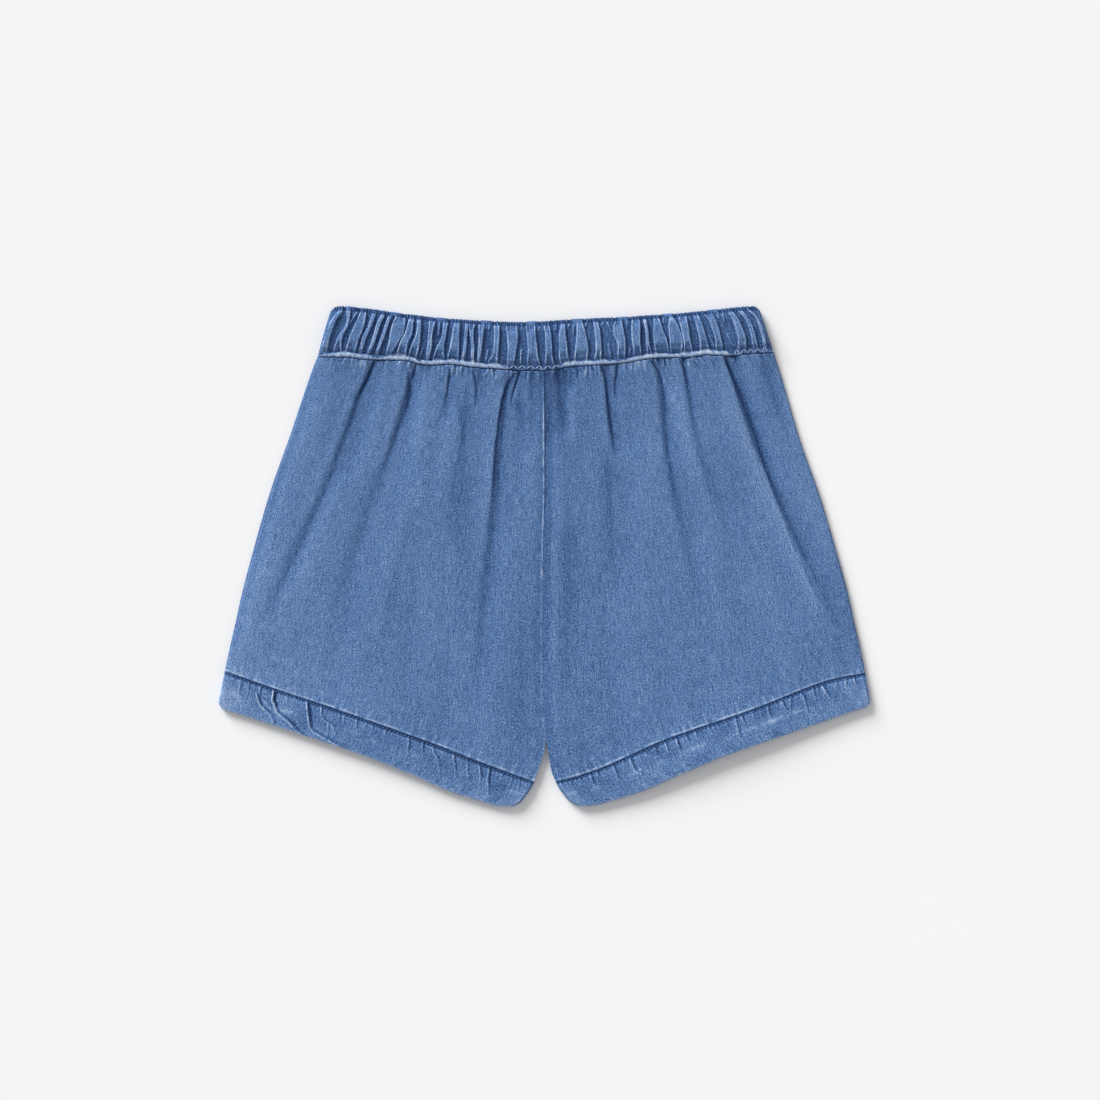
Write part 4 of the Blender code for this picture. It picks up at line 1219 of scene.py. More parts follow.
# Patterns of the cloth: how fine each is across and along the grain, and its detail.
FLECKS = ((2200.0, 850.0), 1.0)
SLUBS = ((1700.0, 150.0), 2.0)
STREAKS = ((560.0, 40.0), 2.0)
CLOUDS = ((30.0, 14.0), 2.0)
TWILL_ACROSS = 0.00062
TWILL_ALONG = 0.00085
YARN = 0.00045
# How pale each group of pieces is before its wear, and the bump's strength and depth in metres.
PANEL_TONE = 0.455
HEM_TONE = 0.45
BAND_TONE = 0.46
BUMP_STRENGTH = 0.5
BUMP_DEPTH = 0.00012


def make_denim(name, tone):
    """Washed denim: slubs and flecks along the grain, twill lines, pale worn ridges, and painted
    shade in hollows, creases and grooves, these last two read from a point attribute.
    """
    colours = bpy.context.scene.skort_colours
    cloth = Cloth(name)
    place = cloth.add("ShaderNodeUVMap", {"uv_map": "grain"}).outputs[0]
    # The point attribute holds real wear (pale) and painted shade (dark) together.
    wear_and_shade_node = cloth.add("ShaderNodeAttribute", {"attribute_name": "wear"})
    wear = Worked(cloth, wear_and_shade_node.outputs["Fac"])
    split = cloth.add("ShaderNodeSeparateXYZ", {}, {0: place})
    across, along = (Worked(cloth, split.outputs[axis]) for axis in (0, 1))

    flecks, slubs, streaks, clouds = (
        cloth.noise(place, *pattern) for pattern in (FLECKS, SLUBS, STREAKS, CLOUDS)
    )
    twill = (across * (2 * np.pi / TWILL_ACROSS) + along * (2 * np.pi / TWILL_ALONG)).sine()
    yarns = (across * (2 * np.pi / YARN)).sine()

    pale = wear * colours.wear_and_shade_strength + tone
    pale = pale + flecks * 1.05 + slubs * 0.56 + streaks * 0.16 + clouds * 0.11
    pale = pale + twill * 0.016
    stops = (
        (0.0, colours.groove), (0.21, colours.deep), (0.41, colours.shade), (0.51, colours.cloth),
        (0.61, colours.washed), (0.81, colours.rubbed), (1.0, colours.edge),
    )
    ramp = cloth.add("ShaderNodeValToRGB", {"stops": stops}, {0: pale})
    relief = twill * 0.35 + yarns * 0.2 + slubs * 1.6 + flecks * 1.6
    bumps = cloth.add(
        "ShaderNodeBump",
        {},
        {"Strength": BUMP_STRENGTH, "Distance": BUMP_DEPTH, "Height": relief},
    )
    cloth.feed(cloth.shader.inputs["Base Color"], ramp.outputs[0])
    cloth.feed(cloth.shader.inputs["Roughness"], 0.86 - flecks * 0.2)
    cloth.feed(cloth.shader.inputs["Normal"], bumps.outputs[0])
    cloth.shader.inputs["Specular IOR Level"].default_value = 0.15
    cloth.shader.inputs["Sheen Weight"].default_value = 0.02
    cloth.shader.inputs["Sheen Roughness"].default_value = 0.6
    return cloth.material


def make_thread(name, dark, pale):
    """Cotton thread, fuzzy and unevenly worn."""
    cloth = Cloth(name)
    place = cloth.add("ShaderNodeTexCoord").outputs["Object"]
    fuzz = cloth.noise(place, (900.0, 900.0))
    stops = ((0.2, dark), (0.8, pale))
    ramp = cloth.add("ShaderNodeValToRGB", {"stops": stops}, {0: 0.5 + fuzz * 1.4})
    cloth.feed(cloth.shader.inputs["Base Color"], ramp.outputs[0])
    cloth.feed(cloth.shader.inputs["Roughness"], 0.7 + fuzz * 0.2)
    cloth.shader.inputs["Specular IOR Level"].default_value = 0.3
    return cloth.material


# ---------------------------------------------------------------- finer folds


def gathers_below(half, random):
    """Short gathers that fan out below the waist seam, closest where the band pulls most."""
    folds = []
    breadth = half.waist[0]
    place = 0.02
    while place < 0.985:
        dense = any(low <= place <= high for low, high in GATHER_CLUSTERS[half.name])
        kind = CLOSE_GATHERS if dense else LOOSE_GATHERS
        pitch = random.uniform(*kind.pitch)
        length = random.uniform(*kind.length)
        start = random.choice(GATHER_STARTS)
        height = random.uniform(*kind.height)
        width = random.uniform(0.50, 0.85)
        lean = random.uniform(-0.016, 0.016)
        path = (place, place + 0.4 * lean, place + lean)
        folds.append(Fold(*path, start, start + length, width, width * 1.5, height, 0.8))
        lean += random.uniform(-0.008, 0.008)
        beside = place + random.uniform(0.9, 1.3) / breadth
        path = (beside, beside + 0.4 * lean, beside + lean)
        end = start + 0.9 * length
        folds.append(Fold(*path, GATHER_STARTS[0], end, width, width * 1.4, -height, 0.8))
        place += pitch / breadth
    return folds


def pulls_above_hem(half, random):
    """Short pulls above the hem's stitching, over the hem's own puckers."""
    folds = []
    for _, (_, place), *_ in HEM_CRESTS[half.name]:
        height = random.uniform(0.12, 0.28)
        length = random.uniform(0.015, 0.045)
        lean = random.uniform(-0.008, 0.008)
        place = place / CREST_UNITS[1]
        path = (place + lean, place + lean / 2, place)
        folds.append(Fold(*path, 1.0 - length, 1.0 + length, 1.2, 1.2, height, 1.0))
    return folds


def hem_crests(half, out_share, down_share):
    """How far a place of a hem is on a pucker's crest, and in the hollow beside it on the side
    away from the light, which is sunk and painted as shade.
    """
    length = hem_length(half)
    crests, hollows = np.zeros_like(out_share), np.zeros_like(out_share)
    step = 0.02
    for tenths, *points in HEM_CRESTS[half.name]:
        strength = tenths / 10
        downs, places = (np.array(points) / CREST_UNITS).T
        at = np.clip(down_share, downs[0], downs[-1])
        slope = smooth_table(downs, places, at + step) - smooth_table(downs, places, at - step)
        slope = slope / (2 * step) * length / HEM_DEPTH
        aside = (out_share - smooth_table(downs, places, at)) * length * half.side
        off = aside / np.hypot(1.0, slope)
        share = (at - downs[0]) / (downs[-1] - downs[0])
        shows = strength * (1.0 - CREST_FADE * smooth_step(share / 0.9 - 0.1))
        shows = shows * near((down_share - at) * HEM_DEPTH, CREST_END)
        crests = np.maximum(crests, shows * near(off, CREST_HALF))
        broad = np.sqrt(max(strength, 0.8))
        hollows = np.maximum(hollows, shows * near(off / broad - CREST_SHADE, SHADE_REACH))
    return crests, hollows


def band_crinkles(random, count):
    """Narrow creases between and on the band's gathers."""
    folds = []
    for _ in range(count):
        place = random.uniform(0.0, 1.0)
        start = random.choice([0.0, 0.08, 0.3, 0.55])
        end = min(1.0, start + random.uniform(0.25, 0.9))
        lean = random.uniform(-0.009, 0.009)
        width = random.uniform(0.45, 0.9)
        height = random.choice([-1.0, -1.0, 1.0]) * random.uniform(0.15, 0.45)
        path = (place, place + lean / 2, place + lean)
        folds.append(Fold(*path, start, end, width, width, height, 1.0))
    return folds


# ---------------------------------------------------------------- pieces


PanelGrid = namedtuple("PanelGrid", "out down breadth plan centre side waist hem")


def panel_grid(half, columns, down_shares):
    """A leg panel's grid: shares out and down, breadth, plan and distances from its edges."""
    out, down = np.meshgrid(edged(columns, half.hem_seam[0]), down_shares)
    breadth = panel_breadth(half, down)
    across = out * breadth, (1.0 - out) * breadth
    along = down * PANEL_LENGTH, (1.0 - down) * PANEL_LENGTH
    return PanelGrid(out, down, breadth, panel_plan(half, out, down), *across, *along)


def panel_grain(half, grid, place):
    """Places of a panel's points on its own stretch of cloth."""
    across = grid.out * half.hem_seam[0] + CLOTH_STRETCH * (half.side + place)
    return cut_place(across, grid.waist)


def back_panel_wear_and_shade(half, grid, upper, shade, random):
    """How pale a back panel is rubbed, and where shade is painted on it: its ridges, creases, its
    seams and what they pull.
    """
    steps = PANEL_LENGTH / PANEL_ROWS, grid.breadth.mean() / PANEL_COLUMNS
    # Painted shade in the creases, where the folds beside them hang over.
    wear = wear_and_shade_of(upper, *steps) - CREASE_PAINTED_SHADE * shade
    broken = soft_noise(random, upper.shape, 1.2, 1.5)
    feathers = soft_noise(random, upper.shape, 4.0, 1.3)
    patchy = soft_noise(random, upper.shape, 3.0, 3.0)
    dense = np.zeros_like(upper)
    for low, high in GATHER_CLUSTERS[half.name]:
        inside = smooth_step(0.5 + (grid.out - low) / CLUSTER_FADE)
        inside = inside * smooth_step(0.5 + (high - grid.out) / CLUSTER_FADE)
        dense = np.maximum(dense, inside)
    pale, dark = np.maximum(feathers, 0.0), np.maximum(-feathers, 0.0)
    wear += amount(TUFTS, dense) * pale * shown(TUFTS_LINE, grid.waist)
    wear += amount(NOTCHES, dense) * dark * shown(NOTCHES_LINE, grid.waist)
    # Painted shadow that the band's roll casts on the panel just below the seam.
    wear += shown(WAIST_ROLL_SHADOW, grid.waist)
    wear += amount(TOPLINE_WORN, patchy) * shown(TOPLINE, grid.hem)
    # Painted shade in the ditch of the hem seam, on the panel's side.
    wear -= HEM_DITCH_SHADE * rise(grid.hem, HEM_DITCH_STEP)
    seam_fade = read_table(CENTRE_LINE, grid.down)
    if half is LEFT:
        wear += amount(CENTRE_WORN, broken) * seam_fade * shown(CENTRE_PALE, grid.centre)
    else:
        out_step, down_step = CENTRE_PATCH_STEPS
        # Painted shade right of the centre seam, on the side away from the light.
        wear -= CENTRE_SHADE * seam_fade * rise(grid.centre, CENTRE_SHADE_STEP)
        wear += shown(CENTRE_SEAM_SHADE, grid.centre) * rise(grid.down, CENTRE_DARK_STEP)
        wear -= CENTRE_PATCH * rise(grid.centre, out_step) * rise(grid.down, down_step)
    return wear + tone_at(grid.plan)


def back_panel_mesh(half, material):
    """One back leg panel: the folds of its solid, with creases, gathers and pulls on them."""
    random = np.random.default_rng(BACK_SEED + half.side)
    down_shares = edged(PANEL_ROWS, PANEL_LENGTH, SEAM_STEPS) ** ROW_GROWTH
    grid = panel_grid(half, PANEL_COLUMNS, down_shares)
    under = back_underside(half, grid.out, grid.down)
    gathers = gather_ridges(0.5 + half.side * 0.5 * grid.out)
    near_waist = np.exp(-grid.down * PANEL_LENGTH / GATHER_BELOW_REACH)
    folds = [*gathers_below(half, random), *pulls_above_hem(half, random)]
    fine = fold_relief(folds, grid.out, grid.down, grid.breadth)
    shade = crease_shade(half, grid.out, grid.down, grid.breadth)
    fine -= CREASE_DEPTH * shade
    for height, rows, columns in SOFT_WAVES:
        fine += height * soft_noise(random, fine.shape, rows, columns)
    upper = under + PLY + GATHER_BELOW_SEAM * gathers * near_waist + fine
    upper -= rounded_edge(grid.centre, *CENTRE_ROUND) + rounded_edge(grid.hem, *HEM_SEAM_ROUND)
    upper -= rounded_edge(grid.waist, *WAIST_ROUND) + rounded_edge(grid.side, *SIDE_ROUND)
    upper = np.maximum(upper, under + THINNEST)
    wear = back_panel_wear_and_shade(half, grid, upper, shade, random)
    inner = raised(grid.plan[::2, ::2], lowest_near(under))
    return sheet_mesh(
        "panel_back_" + half.name,
        raised(grid.plan, upper),
        inner,
        panel_grain(half, grid, BACK_PLACE),
        wear,
        material,
    )


def front_panel_mesh(half, material):
    """One front leg panel, flat on the surface, with shallow creases pressed into its face."""
    random = np.random.default_rng(FRONT_SEED + half.side)
    grid = panel_grid(half, FRONT_COLUMNS, edged(FRONT_ROWS, PANEL_LENGTH))
    folds = [*PANEL_FOLDS[half.name], *gathers_below(half, random)]
    relief = fold_relief(folds, grid.out, grid.down, grid.breadth)
    pressed = np.maximum(-relief - FRONT_FROM, 0.0) / FRONT_SOFT
    lower = FRONT_PRESS * np.tanh(pressed)
    nearest = np.minimum(np.minimum(grid.centre, grid.waist), grid.hem)
    lower += rounded_edge(nearest, *FRONT_ROUND) + rounded_edge(grid.side, *FRONT_SIDE_ROUND)
    lower = np.minimum(lower, FRONT_MOST)
    steps = PANEL_LENGTH / FRONT_ROWS, grid.breadth.mean() / FRONT_COLUMNS
    wear = wear_and_shade_of(-lower, *steps) + tone_at(grid.plan)
    return sheet_mesh(
        "panel_front_" + half.name,
        raised(grid.plan, lower),
        raised(grid.plan[::2, ::2], np.full_like(lower[::2, ::2], PLY)),
        panel_grain(half, grid, FRONT_PLACE),
        wear,
        material,
    )


def hem_surface(half):
    """Functions for the height of a hem's back over the surface and of the slot inside it."""
    rows, thickness, shows = zip(*HEM_ROWS)

    def slot_back(along, down):
        lift = leg_lift(half, along) * (LIFT_AT_SEAM + (1.0 - LIFT_AT_SEAM) * down)
        return HEM_PLIES + SLOT + lift

    def top(along, down):
        crests, hollows = hem_crests(half, along, down)
        pucker = smooth_table(rows, shows, down) * CREST_HEIGHT * (crests - HOLLOW_SHARE * hollows)
        wall = smooth_table(rows, thickness, down) + pucker
        return slot_back(along, down) + np.maximum(wall, LEAST_WALL)

    def front(along, down):
        dents = HEM_DENTS * hem_crests(half, along, down)[0]
        depth = (smooth_table(rows, thickness, down) - HEM_PLIES) * -0.5
        return np.minimum(np.maximum(depth, 0.0) + dents, 0.9)

    return top, slot_back, front


def hem_mesh(half, material):
    """One leg's turned hem, a flattened loop with puckers along its stitching."""
    plan = partial(hem_plan, half)
    outer, inner, along, down, wear = ring_grid(hem_loop(half), plan, *hem_surface(half))
    crests, hollows = hem_crests(half, along, down)
    random = np.random.default_rng(HEM_SEED + half.side)
    uneven = soft_noise(random, along.shape, 1.5, 1.5)
    mottled = soft_noise(random, along.shape, 5.0, 8.0)
    wear = HEM_WEAR_AND_SHADE * wear + crests * amount(CREST_WORN, uneven)
    # Random mottling, and painted shade in the hollows beside the puckers.
    wear += HEM_MOTTLE * mottled - HOLLOW_PAINTED_SHADE * hollows
    # A pale broken line midway down the hem, and painted shadow of the tuck below the hem seam.
    wear += np.maximum(mottled, 0.0) * shown(HEM_MIDLINE, down) + shown(HEM_TUCK_SHADOW, down)
    # The lower edge rubbed pale, and painted lighter against the shade of its rounding.
    wear += HEM_EDGE_WEAR_AND_LIGHT * rise(down, HEM_EDGE_STEP)
    # Painted shade in the ditch of the hem seam, on the hem's side.
    wear -= HEM_STITCH_SHADE * rise(down, HEM_STITCH_STEP)
    wear += tone_at(outer[..., :2])
    across = along * hem_length(half) + CLOTH_STRETCH * (half.side + HEM_PLACE)
    grain = cut_place(across, PANEL_LENGTH + down * HEM_DEPTH)
    return ring_mesh("turned_hem_" + half.name, outer, inner, grain, wear, material)


def welt_height(along):
    """How far the band's rolled lower edge shows over the waist seam, in millimetres."""
    return read_table(WELT_SHOWS, along * 100.0)


def edge_teeth(along):
    """Fine even gathers along the band's top edge, from -1 to 1."""
    return np.sin(2 * np.pi * (along * BAND_LENGTH / TOOTH_PITCH + 2 * np.sin(along * 60.0)))


def band_surface():
    """Functions for the height of the waistband's back, slot and front, and for its wear with its
    painted shade and shadows.
    """
    random = np.random.default_rng(BAND_SEED)
    sways = gather_sways(random)
    crinkles = band_crinkles(random, CRINKLES)
    front_crinkles = band_crinkles(random, 2 * CRINKLES // 3)
    rows, thickness, shows = zip(*BAND_ROWS)
    height = bpy.context.scene.skort_sizes.gather_height / MM

    def top(along, down):
        share = smooth_table(rows, shows, down)
        roll = np.clip(1.0 - welt_height(along), 0.0, 1.0) * shown(WELT_GAP, down)
        ridges, rims, _ = gather_form(along, down, sways)
        fine = fold_relief(crinkles, along, down, BAND_LENGTH)
        teeth = TOOTH_HEIGHT * edge_teeth(along) * smooth_step(1.0 - down / 0.13)
        teeth = teeth * smooth_step(down / 0.02)
        wall = ridges * height + RIM_RISE * rims + CRINKLE_RISE * fine
        wall = share * wall + teeth + roll
        wall = smooth_table(rows, thickness, down) + wall
        return BAND_PLIES + SLOT + np.maximum(wall, LEAST_WALL)

    def slot_back(along, down):
        return np.full_like(along, BAND_PLIES + SLOT)

    def front(along, down):
        ridges = gather_form(along, down, sways)[0]
        fine = fold_relief(front_crinkles, along, down, BAND_LENGTH)
        wall = np.maximum(FRONT_WALL - smooth_table(rows, thickness, down), 0.0) * 0.5
        dents = 1.0 - np.minimum(ridges, 1.0)
        dents = FRONT_DENTS * dents * smooth_table(rows, shows, down)
        fine = FRONT_CRINKLES * np.maximum(-fine, 0.0)
        return np.minimum(dents + wall + fine, FRONT_BAND_MOST)

    # Wear of the band together with its painted shade and shadows.
    def rubbed(along, down):
        uneven = soft_noise(random, along.shape, 4, 2.0)
        jagged = soft_noise(random, along.shape, 40, 2.5)
        mottled = soft_noise(random, along.shape, 1.5, 2.0)
        scalloped = soft_noise(random, along.shape, 40, 7.0)
        ridges, rims, painted_crease_shade = gather_form(along, down, sways)
        upper_step, lower_step = GATHERS_STEPS
        grooves = 1.0 - np.minimum(ridges, 1.0)
        rims = rims * (amount(RIM_WORN, uneven) + shown(RIM_TIPS, down))
        # Grooves darker for deeper dye and painted shade; the creases beside the ridges painted as
        # shade.
        wear = rims - GROOVE_DYE_AND_SHADE * grooves - SHADE_BESIDE_RIDGES * painted_crease_shade
        wear = rise(down, upper_step) * rise(down, lower_step) * wear
        welt_step, shadow_step = WELT_STEPS
        above_seam = (SEAM_ROW - down) * BAND_DEPTH
        reach = welt_height(along) + WELT_RAGGED * jagged + WELT_RAGGED * scalloped
        welt = smooth_step((reach + WELT_MORE - above_seam) / WELT_SOFT)
        wear += amount(WELT_WORN, mottled) * welt * rise(above_seam, welt_step)
        # Painted shadow just above the rolled welt, where the welt doesn't show.
        wear -= ABOVE_WELT_SHADE * rise(down, ABOVE_WELT_STEP) * (1.0 - welt)
        wear += shown(WELT_SHADOW, above_seam - reach) * rise(reach, shadow_step)
        # Painted shadow under the roll, along the waist seam.
        wear += shown(BAND_ROLL_SHADOW, down)
        # The band's top fold painted darker as shade, with paler teeth of its gathers.
        wear += rise(down, TOP_FOLD_STEP) * amount(TOP_FOLD_SHADE, edge_teeth(along))
        # A pale line along part of the band's top edge.
        left_step, right_step = BAND_TOP_STEPS
        worn = rise(along, left_step) * rise(along, right_step)
        return wear + worn * shown(BAND_TOP_PALE, down)

    return top, slot_back, front, rubbed


def band_mesh(material):
    """The elasticated casing, gathered all round."""
    loop = Loop(
        BAND_LENGTH, BAND_DEPTH, BAND_ROW_COUNT, BAND_BACK_COLUMNS, BAND_FRONT_COLUMNS,
        BAND_END_ROUND, BAND_END_WALL, BAND_END_WEAR, BAND_PLIES,
    )
    *heights, rubbed = band_surface()
    outer, inner, along, down, wear = ring_grid(loop, band_plan, *heights)
    wear = BAND_WEAR_AND_SHADE * wear + rubbed(along, down)
    across = along * BAND_LENGTH * BAND_FULLNESS + CLOTH_STRETCH * BAND_PLACE
    grain = cut_place(across, down * BAND_DEPTH)
    return ring_mesh("gathered_waistband", outer, inner, grain, wear, material)


# ---------------------------------------------------------------- stitches


def stitch_model():
    """One stitch: a short thick thread, a millimetre long, with rounded ends."""
    bpy.ops.object.select_all(action="DESELECT")
    bpy.ops.mesh.primitive_uv_sphere_add(segments=8, ring_count=5, radius=0.5)
    stitch = bpy.context.object
    places = np.array([vertex.co[:] for vertex in stitch.data.vertices])
    faces = [tuple(face.vertices) for face in stitch.data.polygons]
    bpy.data.objects.remove(stitch, do_unlink=True)
    return places, faces


def stitch_row(name, ends, thickness, material):
    """A row of stitches as one piece; ends holds each stitch's two ends in millimetres."""
    shape, shape_faces = stitch_model()
    points, faces = [], []
    for start, end in ends:
        run = end - start
        length = np.linalg.norm(run)
        ahead = run / length
        aside = np.cross((0.0, 0.0, 1.0), ahead)
        aside /= np.linalg.norm(aside)
        above = np.cross(ahead, aside)
        turned = shape[:, [0]] * ahead * length + shape[:, [1]] * aside * thickness
        turned = turned + shape[:, [2]] * above * thickness
        first = len(points) * len(shape)
        points.append(turned + (start + end) / 2)
        faces += [tuple(first + corner for corner in face) for face in shape_faces]
    mesh = bare_mesh(name, np.concatenate(points), faces, material)
    mesh.shade_smooth()
    return add_object(name, mesh)


def stitch_ends(plan, top, above, starts, ends, rows):
    """Ends of stitches that run above a surface, at shares along and down it."""

    def place(along, down):
        along, down = np.array(along), np.array(down)
        return np.array([*plan(along, down), float(top(along, down)) + above])

    return [
        (place(start, first), place(end, last))
        for start, end, (first, last) in zip(starts, ends, rows)
    ]


def add_stitches(name, ends, thickness, thread):
    """Add a row of stitches and say how it rides."""
    stitches = stitch_row(name, ends, thickness, thread)
    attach(stitches, "root")
    return stitches


def finish_cloth(piece, node):
    """Hide the solid that a piece of cloth stands for, and attach the piece to the root."""
    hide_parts(node)
    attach(piece, "root")


# ---------------------------------------------------------------- settings


def number_property(name, description, default, low, high, **kind):
    """A number that a user can change; kind is its unit or subtype."""
    return FloatProperty(
        name=name, description=description, default=default, min=low, max=high, **kind
    )


def colour_property(name, description, colour):
    """A colour that a user can pick."""
    return FloatVectorProperty(
        name=name, description=description, default=colour, min=0.0, max=1.0, subtype="COLOR"
    )


class SkortSizes(PropertyGroup):
    """Sizes that a user would change."""

    gather_height: number_property(
        "Gather height", "How far the waistband's gathers stand over its casing",
        1.8 * MM, 0.5 * MM, 2.2 * MM, unit="LENGTH",
    )
    stitch_length: number_property(
        "Stitch length", "Length of one stitch of the hems",
        1.7 * MM, 1.0 * MM, 4.0 * MM, unit="LENGTH",
    )
    thread_thickness: number_property(
        "Thread thickness", "Thickness of the sewing thread",
        0.42 * MM, 0.2 * MM, 0.8 * MM, unit="LENGTH",
    )


class SkortColours(PropertyGroup):
    """Colours of the denim, from the grooves of its gathers to its most worn edges; the darker
    ones also serve as painted shade in grooves and creases.
    """

    groove: colour_property("Groove", "Deepest dye, in the gathers", tint(27, 50, 91))
    deep: colour_property("Deep", "Dye in creases", tint(52, 81, 126))
    shade: colour_property("Shade", "Darker cloth", tint(80, 113, 163))
    cloth: colour_property("Cloth", "Plain washed cloth", tint(93, 127, 176))
    washed: colour_property("Washed", "Paler flecks", tint(108, 140, 187))
    rubbed: colour_property("Rubbed", "Rubbed ridges", tint(147, 170, 204))
    edge: colour_property("Edge", "Most worn edges", tint(183, 198, 221))
    thread: colour_property("Thread", "Sewing thread", tint(165, 186, 216))
    # Scales real wear and painted shade alike.
    wear_and_shade_strength: number_property(
        "Wear", "How much paler ridges are than hollows",
        0.28, 0.0, 1.0, subtype="FACTOR",
    )


class SkortStage(PropertyGroup):
    """The floor, the light and the camera."""

    floor_colour: colour_property("Floor", "Colour of the floor", (0.92, 0.92, 0.92))
    key_share: number_property(
        "Key light", "Share of the light that comes from the key light",
        0.52, 0.0, 1.0, subtype="FACTOR",
    )
    key_elevation: number_property(
        "Key elevation", "How high the key light stands",
        np.radians(23.0), np.radians(5.0), np.radians(90.0), subtype="ANGLE",
    )
    key_spread: number_property(
        "Key spread", "How broad the key light looks from the garment",
        np.radians(30.0), 0.0, np.radians(180.0), subtype="ANGLE",
    )
    view_width: number_property(
        "View width", "Breadth of the floor that the camera sees",
        0.671, 0.1, 5.0, unit="LENGTH",
    )


# ---------------------------------------------------------------- stage and operators

# Lengths of the stage are metres, the lens and the sensor are millimetres.
FLOOR_SIZE = 12.0
FLOOR_BELOW = 0.00005
FLOOR_DULLER = 0.995
KEY_DIRECTION = (-0.62, 0.785, 0.0)
LENS = 120.0
SENSOR = 36.0
VIEW_CENTRE = (0.00336, 0.00366)
CLIP = (0.1, 20.0)


class SKORT_OT_back_panels(Operator):
    """Add the two back leg panels"""

    bl_idname = "skort.back_panels"
    bl_label = "Back panels"
    bl_options = {"REGISTER", "UNDO"}

    def execute(self, context):
        material = make_denim("washed_denim_back", PANEL_TONE)
        for half in HALVES:
            panel = back_panel_mesh(half, material)
            finish_cloth(
                panel, "back_" + half.name,
            )
        return {"FINISHED"}


class SKORT_OT_front_panels(Operator):
    """Add the two front leg panels, flat on the floor"""

    bl_idname = "skort.front_panels"
    bl_label = "Front panels"
    bl_options = {"REGISTER", "UNDO"}

    def execute(self, context):
        material = make_denim("washed_denim_front", PANEL_TONE)
        for half in HALVES:
            panel = front_panel_mesh(half, material)
            finish_cloth(
                panel, "front_" + half.name,
            )
        return {"FINISHED"}


class SKORT_OT_hems(Operator):
    """Add the two turned hems and the stitches that hold them"""

    bl_idname = "skort.hems"
    bl_label = "Hems"
    bl_options = {"REGISTER", "UNDO"}

    def execute(self, context):
        sizes = context.scene.skort_sizes
        stitch = sizes.stitch_length / MM
        row = 1.0 / HEM_DEPTH
        rows = tuple(down * row for down in HEM_STITCH_ROWS)
        material = make_denim("washed_denim_hem", HEM_TONE)
        colours = context.scene.skort_colours
        thread = make_thread("hem_thread", colours.shade, colours.cloth)
        for half in HALVES:
            hem = hem_mesh(half, material)
            count = int(hem_length(half) / (stitch + HEM_STITCH_GAP))
            starts = np.linspace(*HEM_STITCHES, count, endpoint=False)
            ends = stitch_ends(
                partial(hem_plan, half), hem_surface(half)[0], HEM_STITCH_ABOVE,
                starts, starts + stitch / hem_length(half), [rows] * count,
            )
            thickness = sizes.thread_thickness / MM
            name = "hem_stitches_" + half.name
            stitches = add_stitches(name, ends, thickness, thread)
            finish_cloth(
                hem, "hem_" + half.name,
            )
        return {"FINISHED"}


class SKORT_OT_waistband(Operator):
    """Add the gathered waistband and its stitches"""

    bl_idname = "skort.waistband"
    bl_label = "Waistband"
    bl_options = {"REGISTER", "UNDO"}

    def execute(self, context):
        sizes = context.scene.skort_sizes
        material = make_denim("gathered_denim", BAND_TONE)
        colours = context.scene.skort_colours
        thread = make_thread("waist_thread", colours.rubbed, colours.thread)
        band = band_mesh(material)
        top = band_surface()[0]
        ends = []
        for start, end, half_pitch, high, low in ZIGZAGS:
            count = int((end - start) * BAND_LENGTH / half_pitch)
            places = np.linspace(start, end, count + 1)
            rows = [(high, low) if step % 2 else (low, high) for step in range(count)]
            ends += stitch_ends(band_plan, top, ZIGZAG_ABOVE, places[:-1], places[1:], rows)
        thickness = sizes.thread_thickness / MM * ZIGZAG_THREAD
        stitches = add_stitches("waist_stitches", ends, thickness, thread)
        finish_cloth(
            band, "waistband",
        )
        return {"FINISHED"}


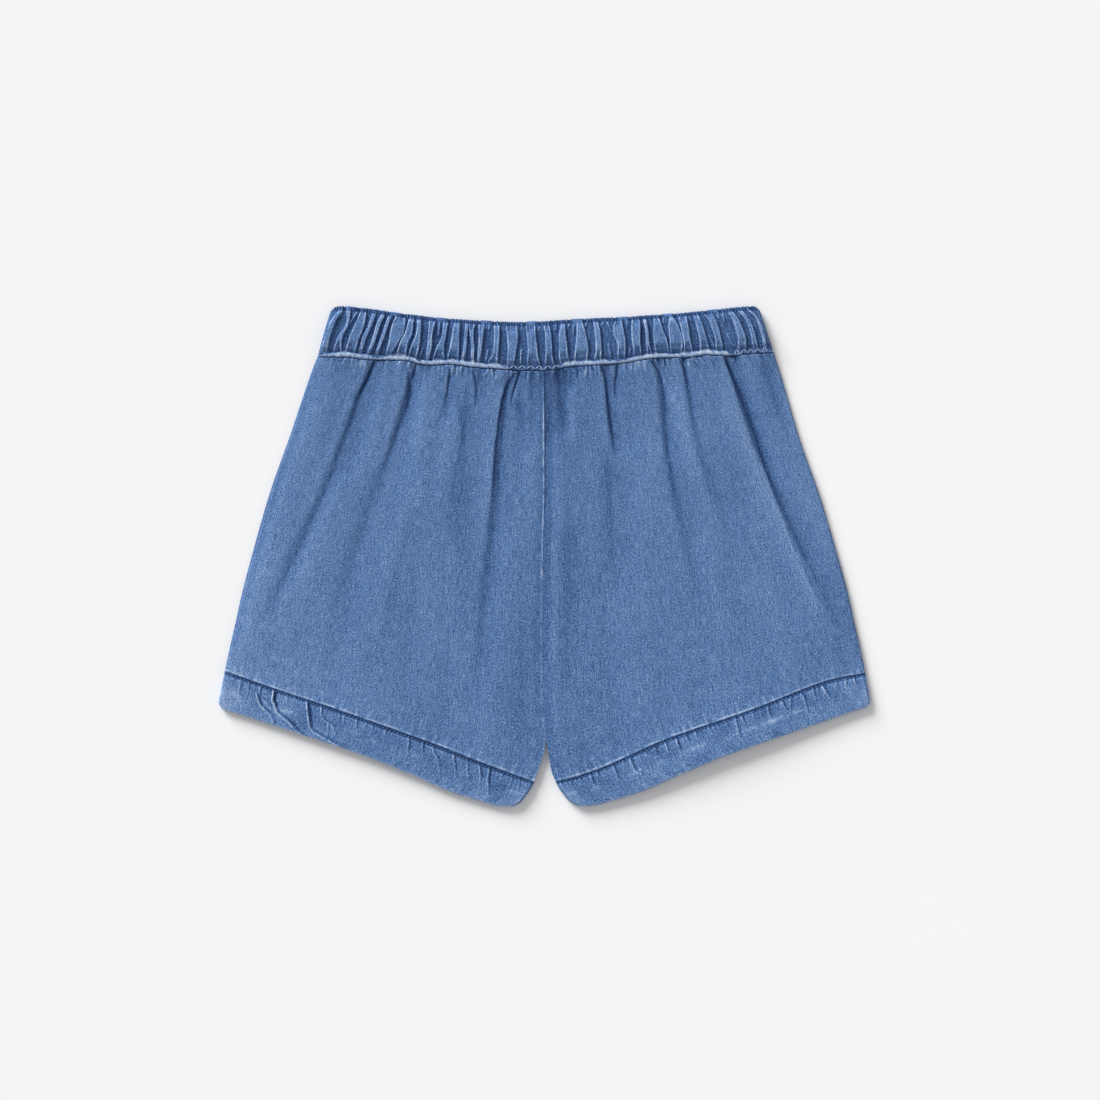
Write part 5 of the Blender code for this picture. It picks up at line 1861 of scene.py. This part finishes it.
class SKORT_OT_stage(Operator):
    """Add the floor, the light and the camera"""

    bl_idname = "skort.stage"
    bl_label = "Stage"
    bl_options = {"REGISTER", "UNDO"}

    def execute(self, context):
        stage = context.scene.skort_stage
        bpy.ops.object.select_all(action="DESELECT")
        bpy.ops.mesh.primitive_plane_add(size=FLOOR_SIZE, location=(0.0, 0.0, 0.0))
        floor = context.object
        floor.name = "floor"
        for vertex in floor.data.vertices:
            vertex.co.z = -FLOOR_BELOW
        paper = Cloth("floor_paper")
        place = paper.add("ShaderNodeTexCoord").outputs["Object"]
        mottle = paper.noise(place, (6.0, 6.0))
        plain, duller = (
            (*(share * part for part in stage.floor_colour), 1.0) for share in (1.0, FLOOR_DULLER)
        )
        sockets = {0: 0.5 + mottle, 6: plain, 7: duller}
        mixed = paper.add("ShaderNodeMix", {"data_type": "RGBA"}, sockets)
        paper.feed(paper.shader.inputs["Base Color"], mixed.outputs[2])
        paper.shader.inputs["Roughness"].default_value = 0.9
        paper.shader.inputs["Specular IOR Level"].default_value = 0.0
        floor.data.materials.append(paper.material)
        floor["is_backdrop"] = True

        to_light = Vector(KEY_DIRECTION) * np.cos(stage.key_elevation)
        to_light.z = np.sin(stage.key_elevation)
        bpy.ops.object.light_add(type="SUN", location=to_light * 3.0)
        key = context.object
        key.name = "key_light"
        key.rotation_euler = to_light.to_track_quat("Z", "Y").to_euler()
        key.data.energy = stage.key_share * np.pi / np.sin(stage.key_elevation)
        key.data.angle = stage.key_spread
        world = bpy.data.worlds.new("studio")
        world.use_nodes = True
        sky = world.node_tree.nodes["Background"]
        sky.inputs["Color"].default_value = (1.0, 1.0, 1.0, 1.0)
        sky.inputs["Strength"].default_value = 1.0 - stage.key_share
        context.scene.world = world

        distance = stage.view_width / SENSOR * LENS
        bpy.ops.object.camera_add(location=(*VIEW_CENTRE, distance), rotation=(0, 0, 0))
        camera = context.object
        camera.name = "camera"
        camera.data.lens = LENS
        camera.data.sensor_width = SENSOR
        camera.data.clip_start, camera.data.clip_end = CLIP
        context.scene.camera = camera
        context.scene.view_settings.view_transform = "Standard"
        return {"FINISHED"}


class SKORT_PT_sidebar(Panel):
    """Lists the skort's settings and pieces"""

    bl_idname = "SKORT_PT_sidebar"
    bl_label = "Skort"
    bl_space_type = "VIEW_3D"
    bl_region_type = "UI"
    bl_category = "Skort"

    def draw(self, context):
        for group in GROUPS:
            settings = getattr(context.scene, GROUPS[group])
            box = self.layout.box()
            for name in settings.bl_rna.properties.keys():
                if name not in ("rna_type", "name"):
                    box.prop(settings, name)
        for operator in OPERATORS:
            self.layout.operator(operator.bl_idname)


GROUPS = {SkortSizes: "skort_sizes", SkortColours: "skort_colours", SkortStage: "skort_stage"}
OPERATORS = (
    SKORT_OT_back_panels,
    SKORT_OT_front_panels,
    SKORT_OT_hems,
    SKORT_OT_waistband,
    SKORT_OT_stage,
)
CLASSES = (*GROUPS, *OPERATORS, SKORT_PT_sidebar)


def register():
    for kind in CLASSES:
        bpy.utils.register_class(kind)
    for group, name in GROUPS.items():
        setattr(bpy.types.Scene, name, PointerProperty(type=group))


def unregister():
    for name in GROUPS.values():
        delattr(bpy.types.Scene, name)
    for kind in reversed(CLASSES):
        bpy.utils.unregister_class(kind)


def main():
    register()
    bpy.ops.skort.back_panels()
    bpy.ops.skort.front_panels()
    bpy.ops.skort.hems()
    bpy.ops.skort.waistband()
    bpy.ops.skort.stage()
    boxes = {"cad": CAD_BOX, "visual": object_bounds()}
    lists = {name: [list(corner) for corner in box] for name, box in boxes.items()}


if __name__ == "__main__":
    main()
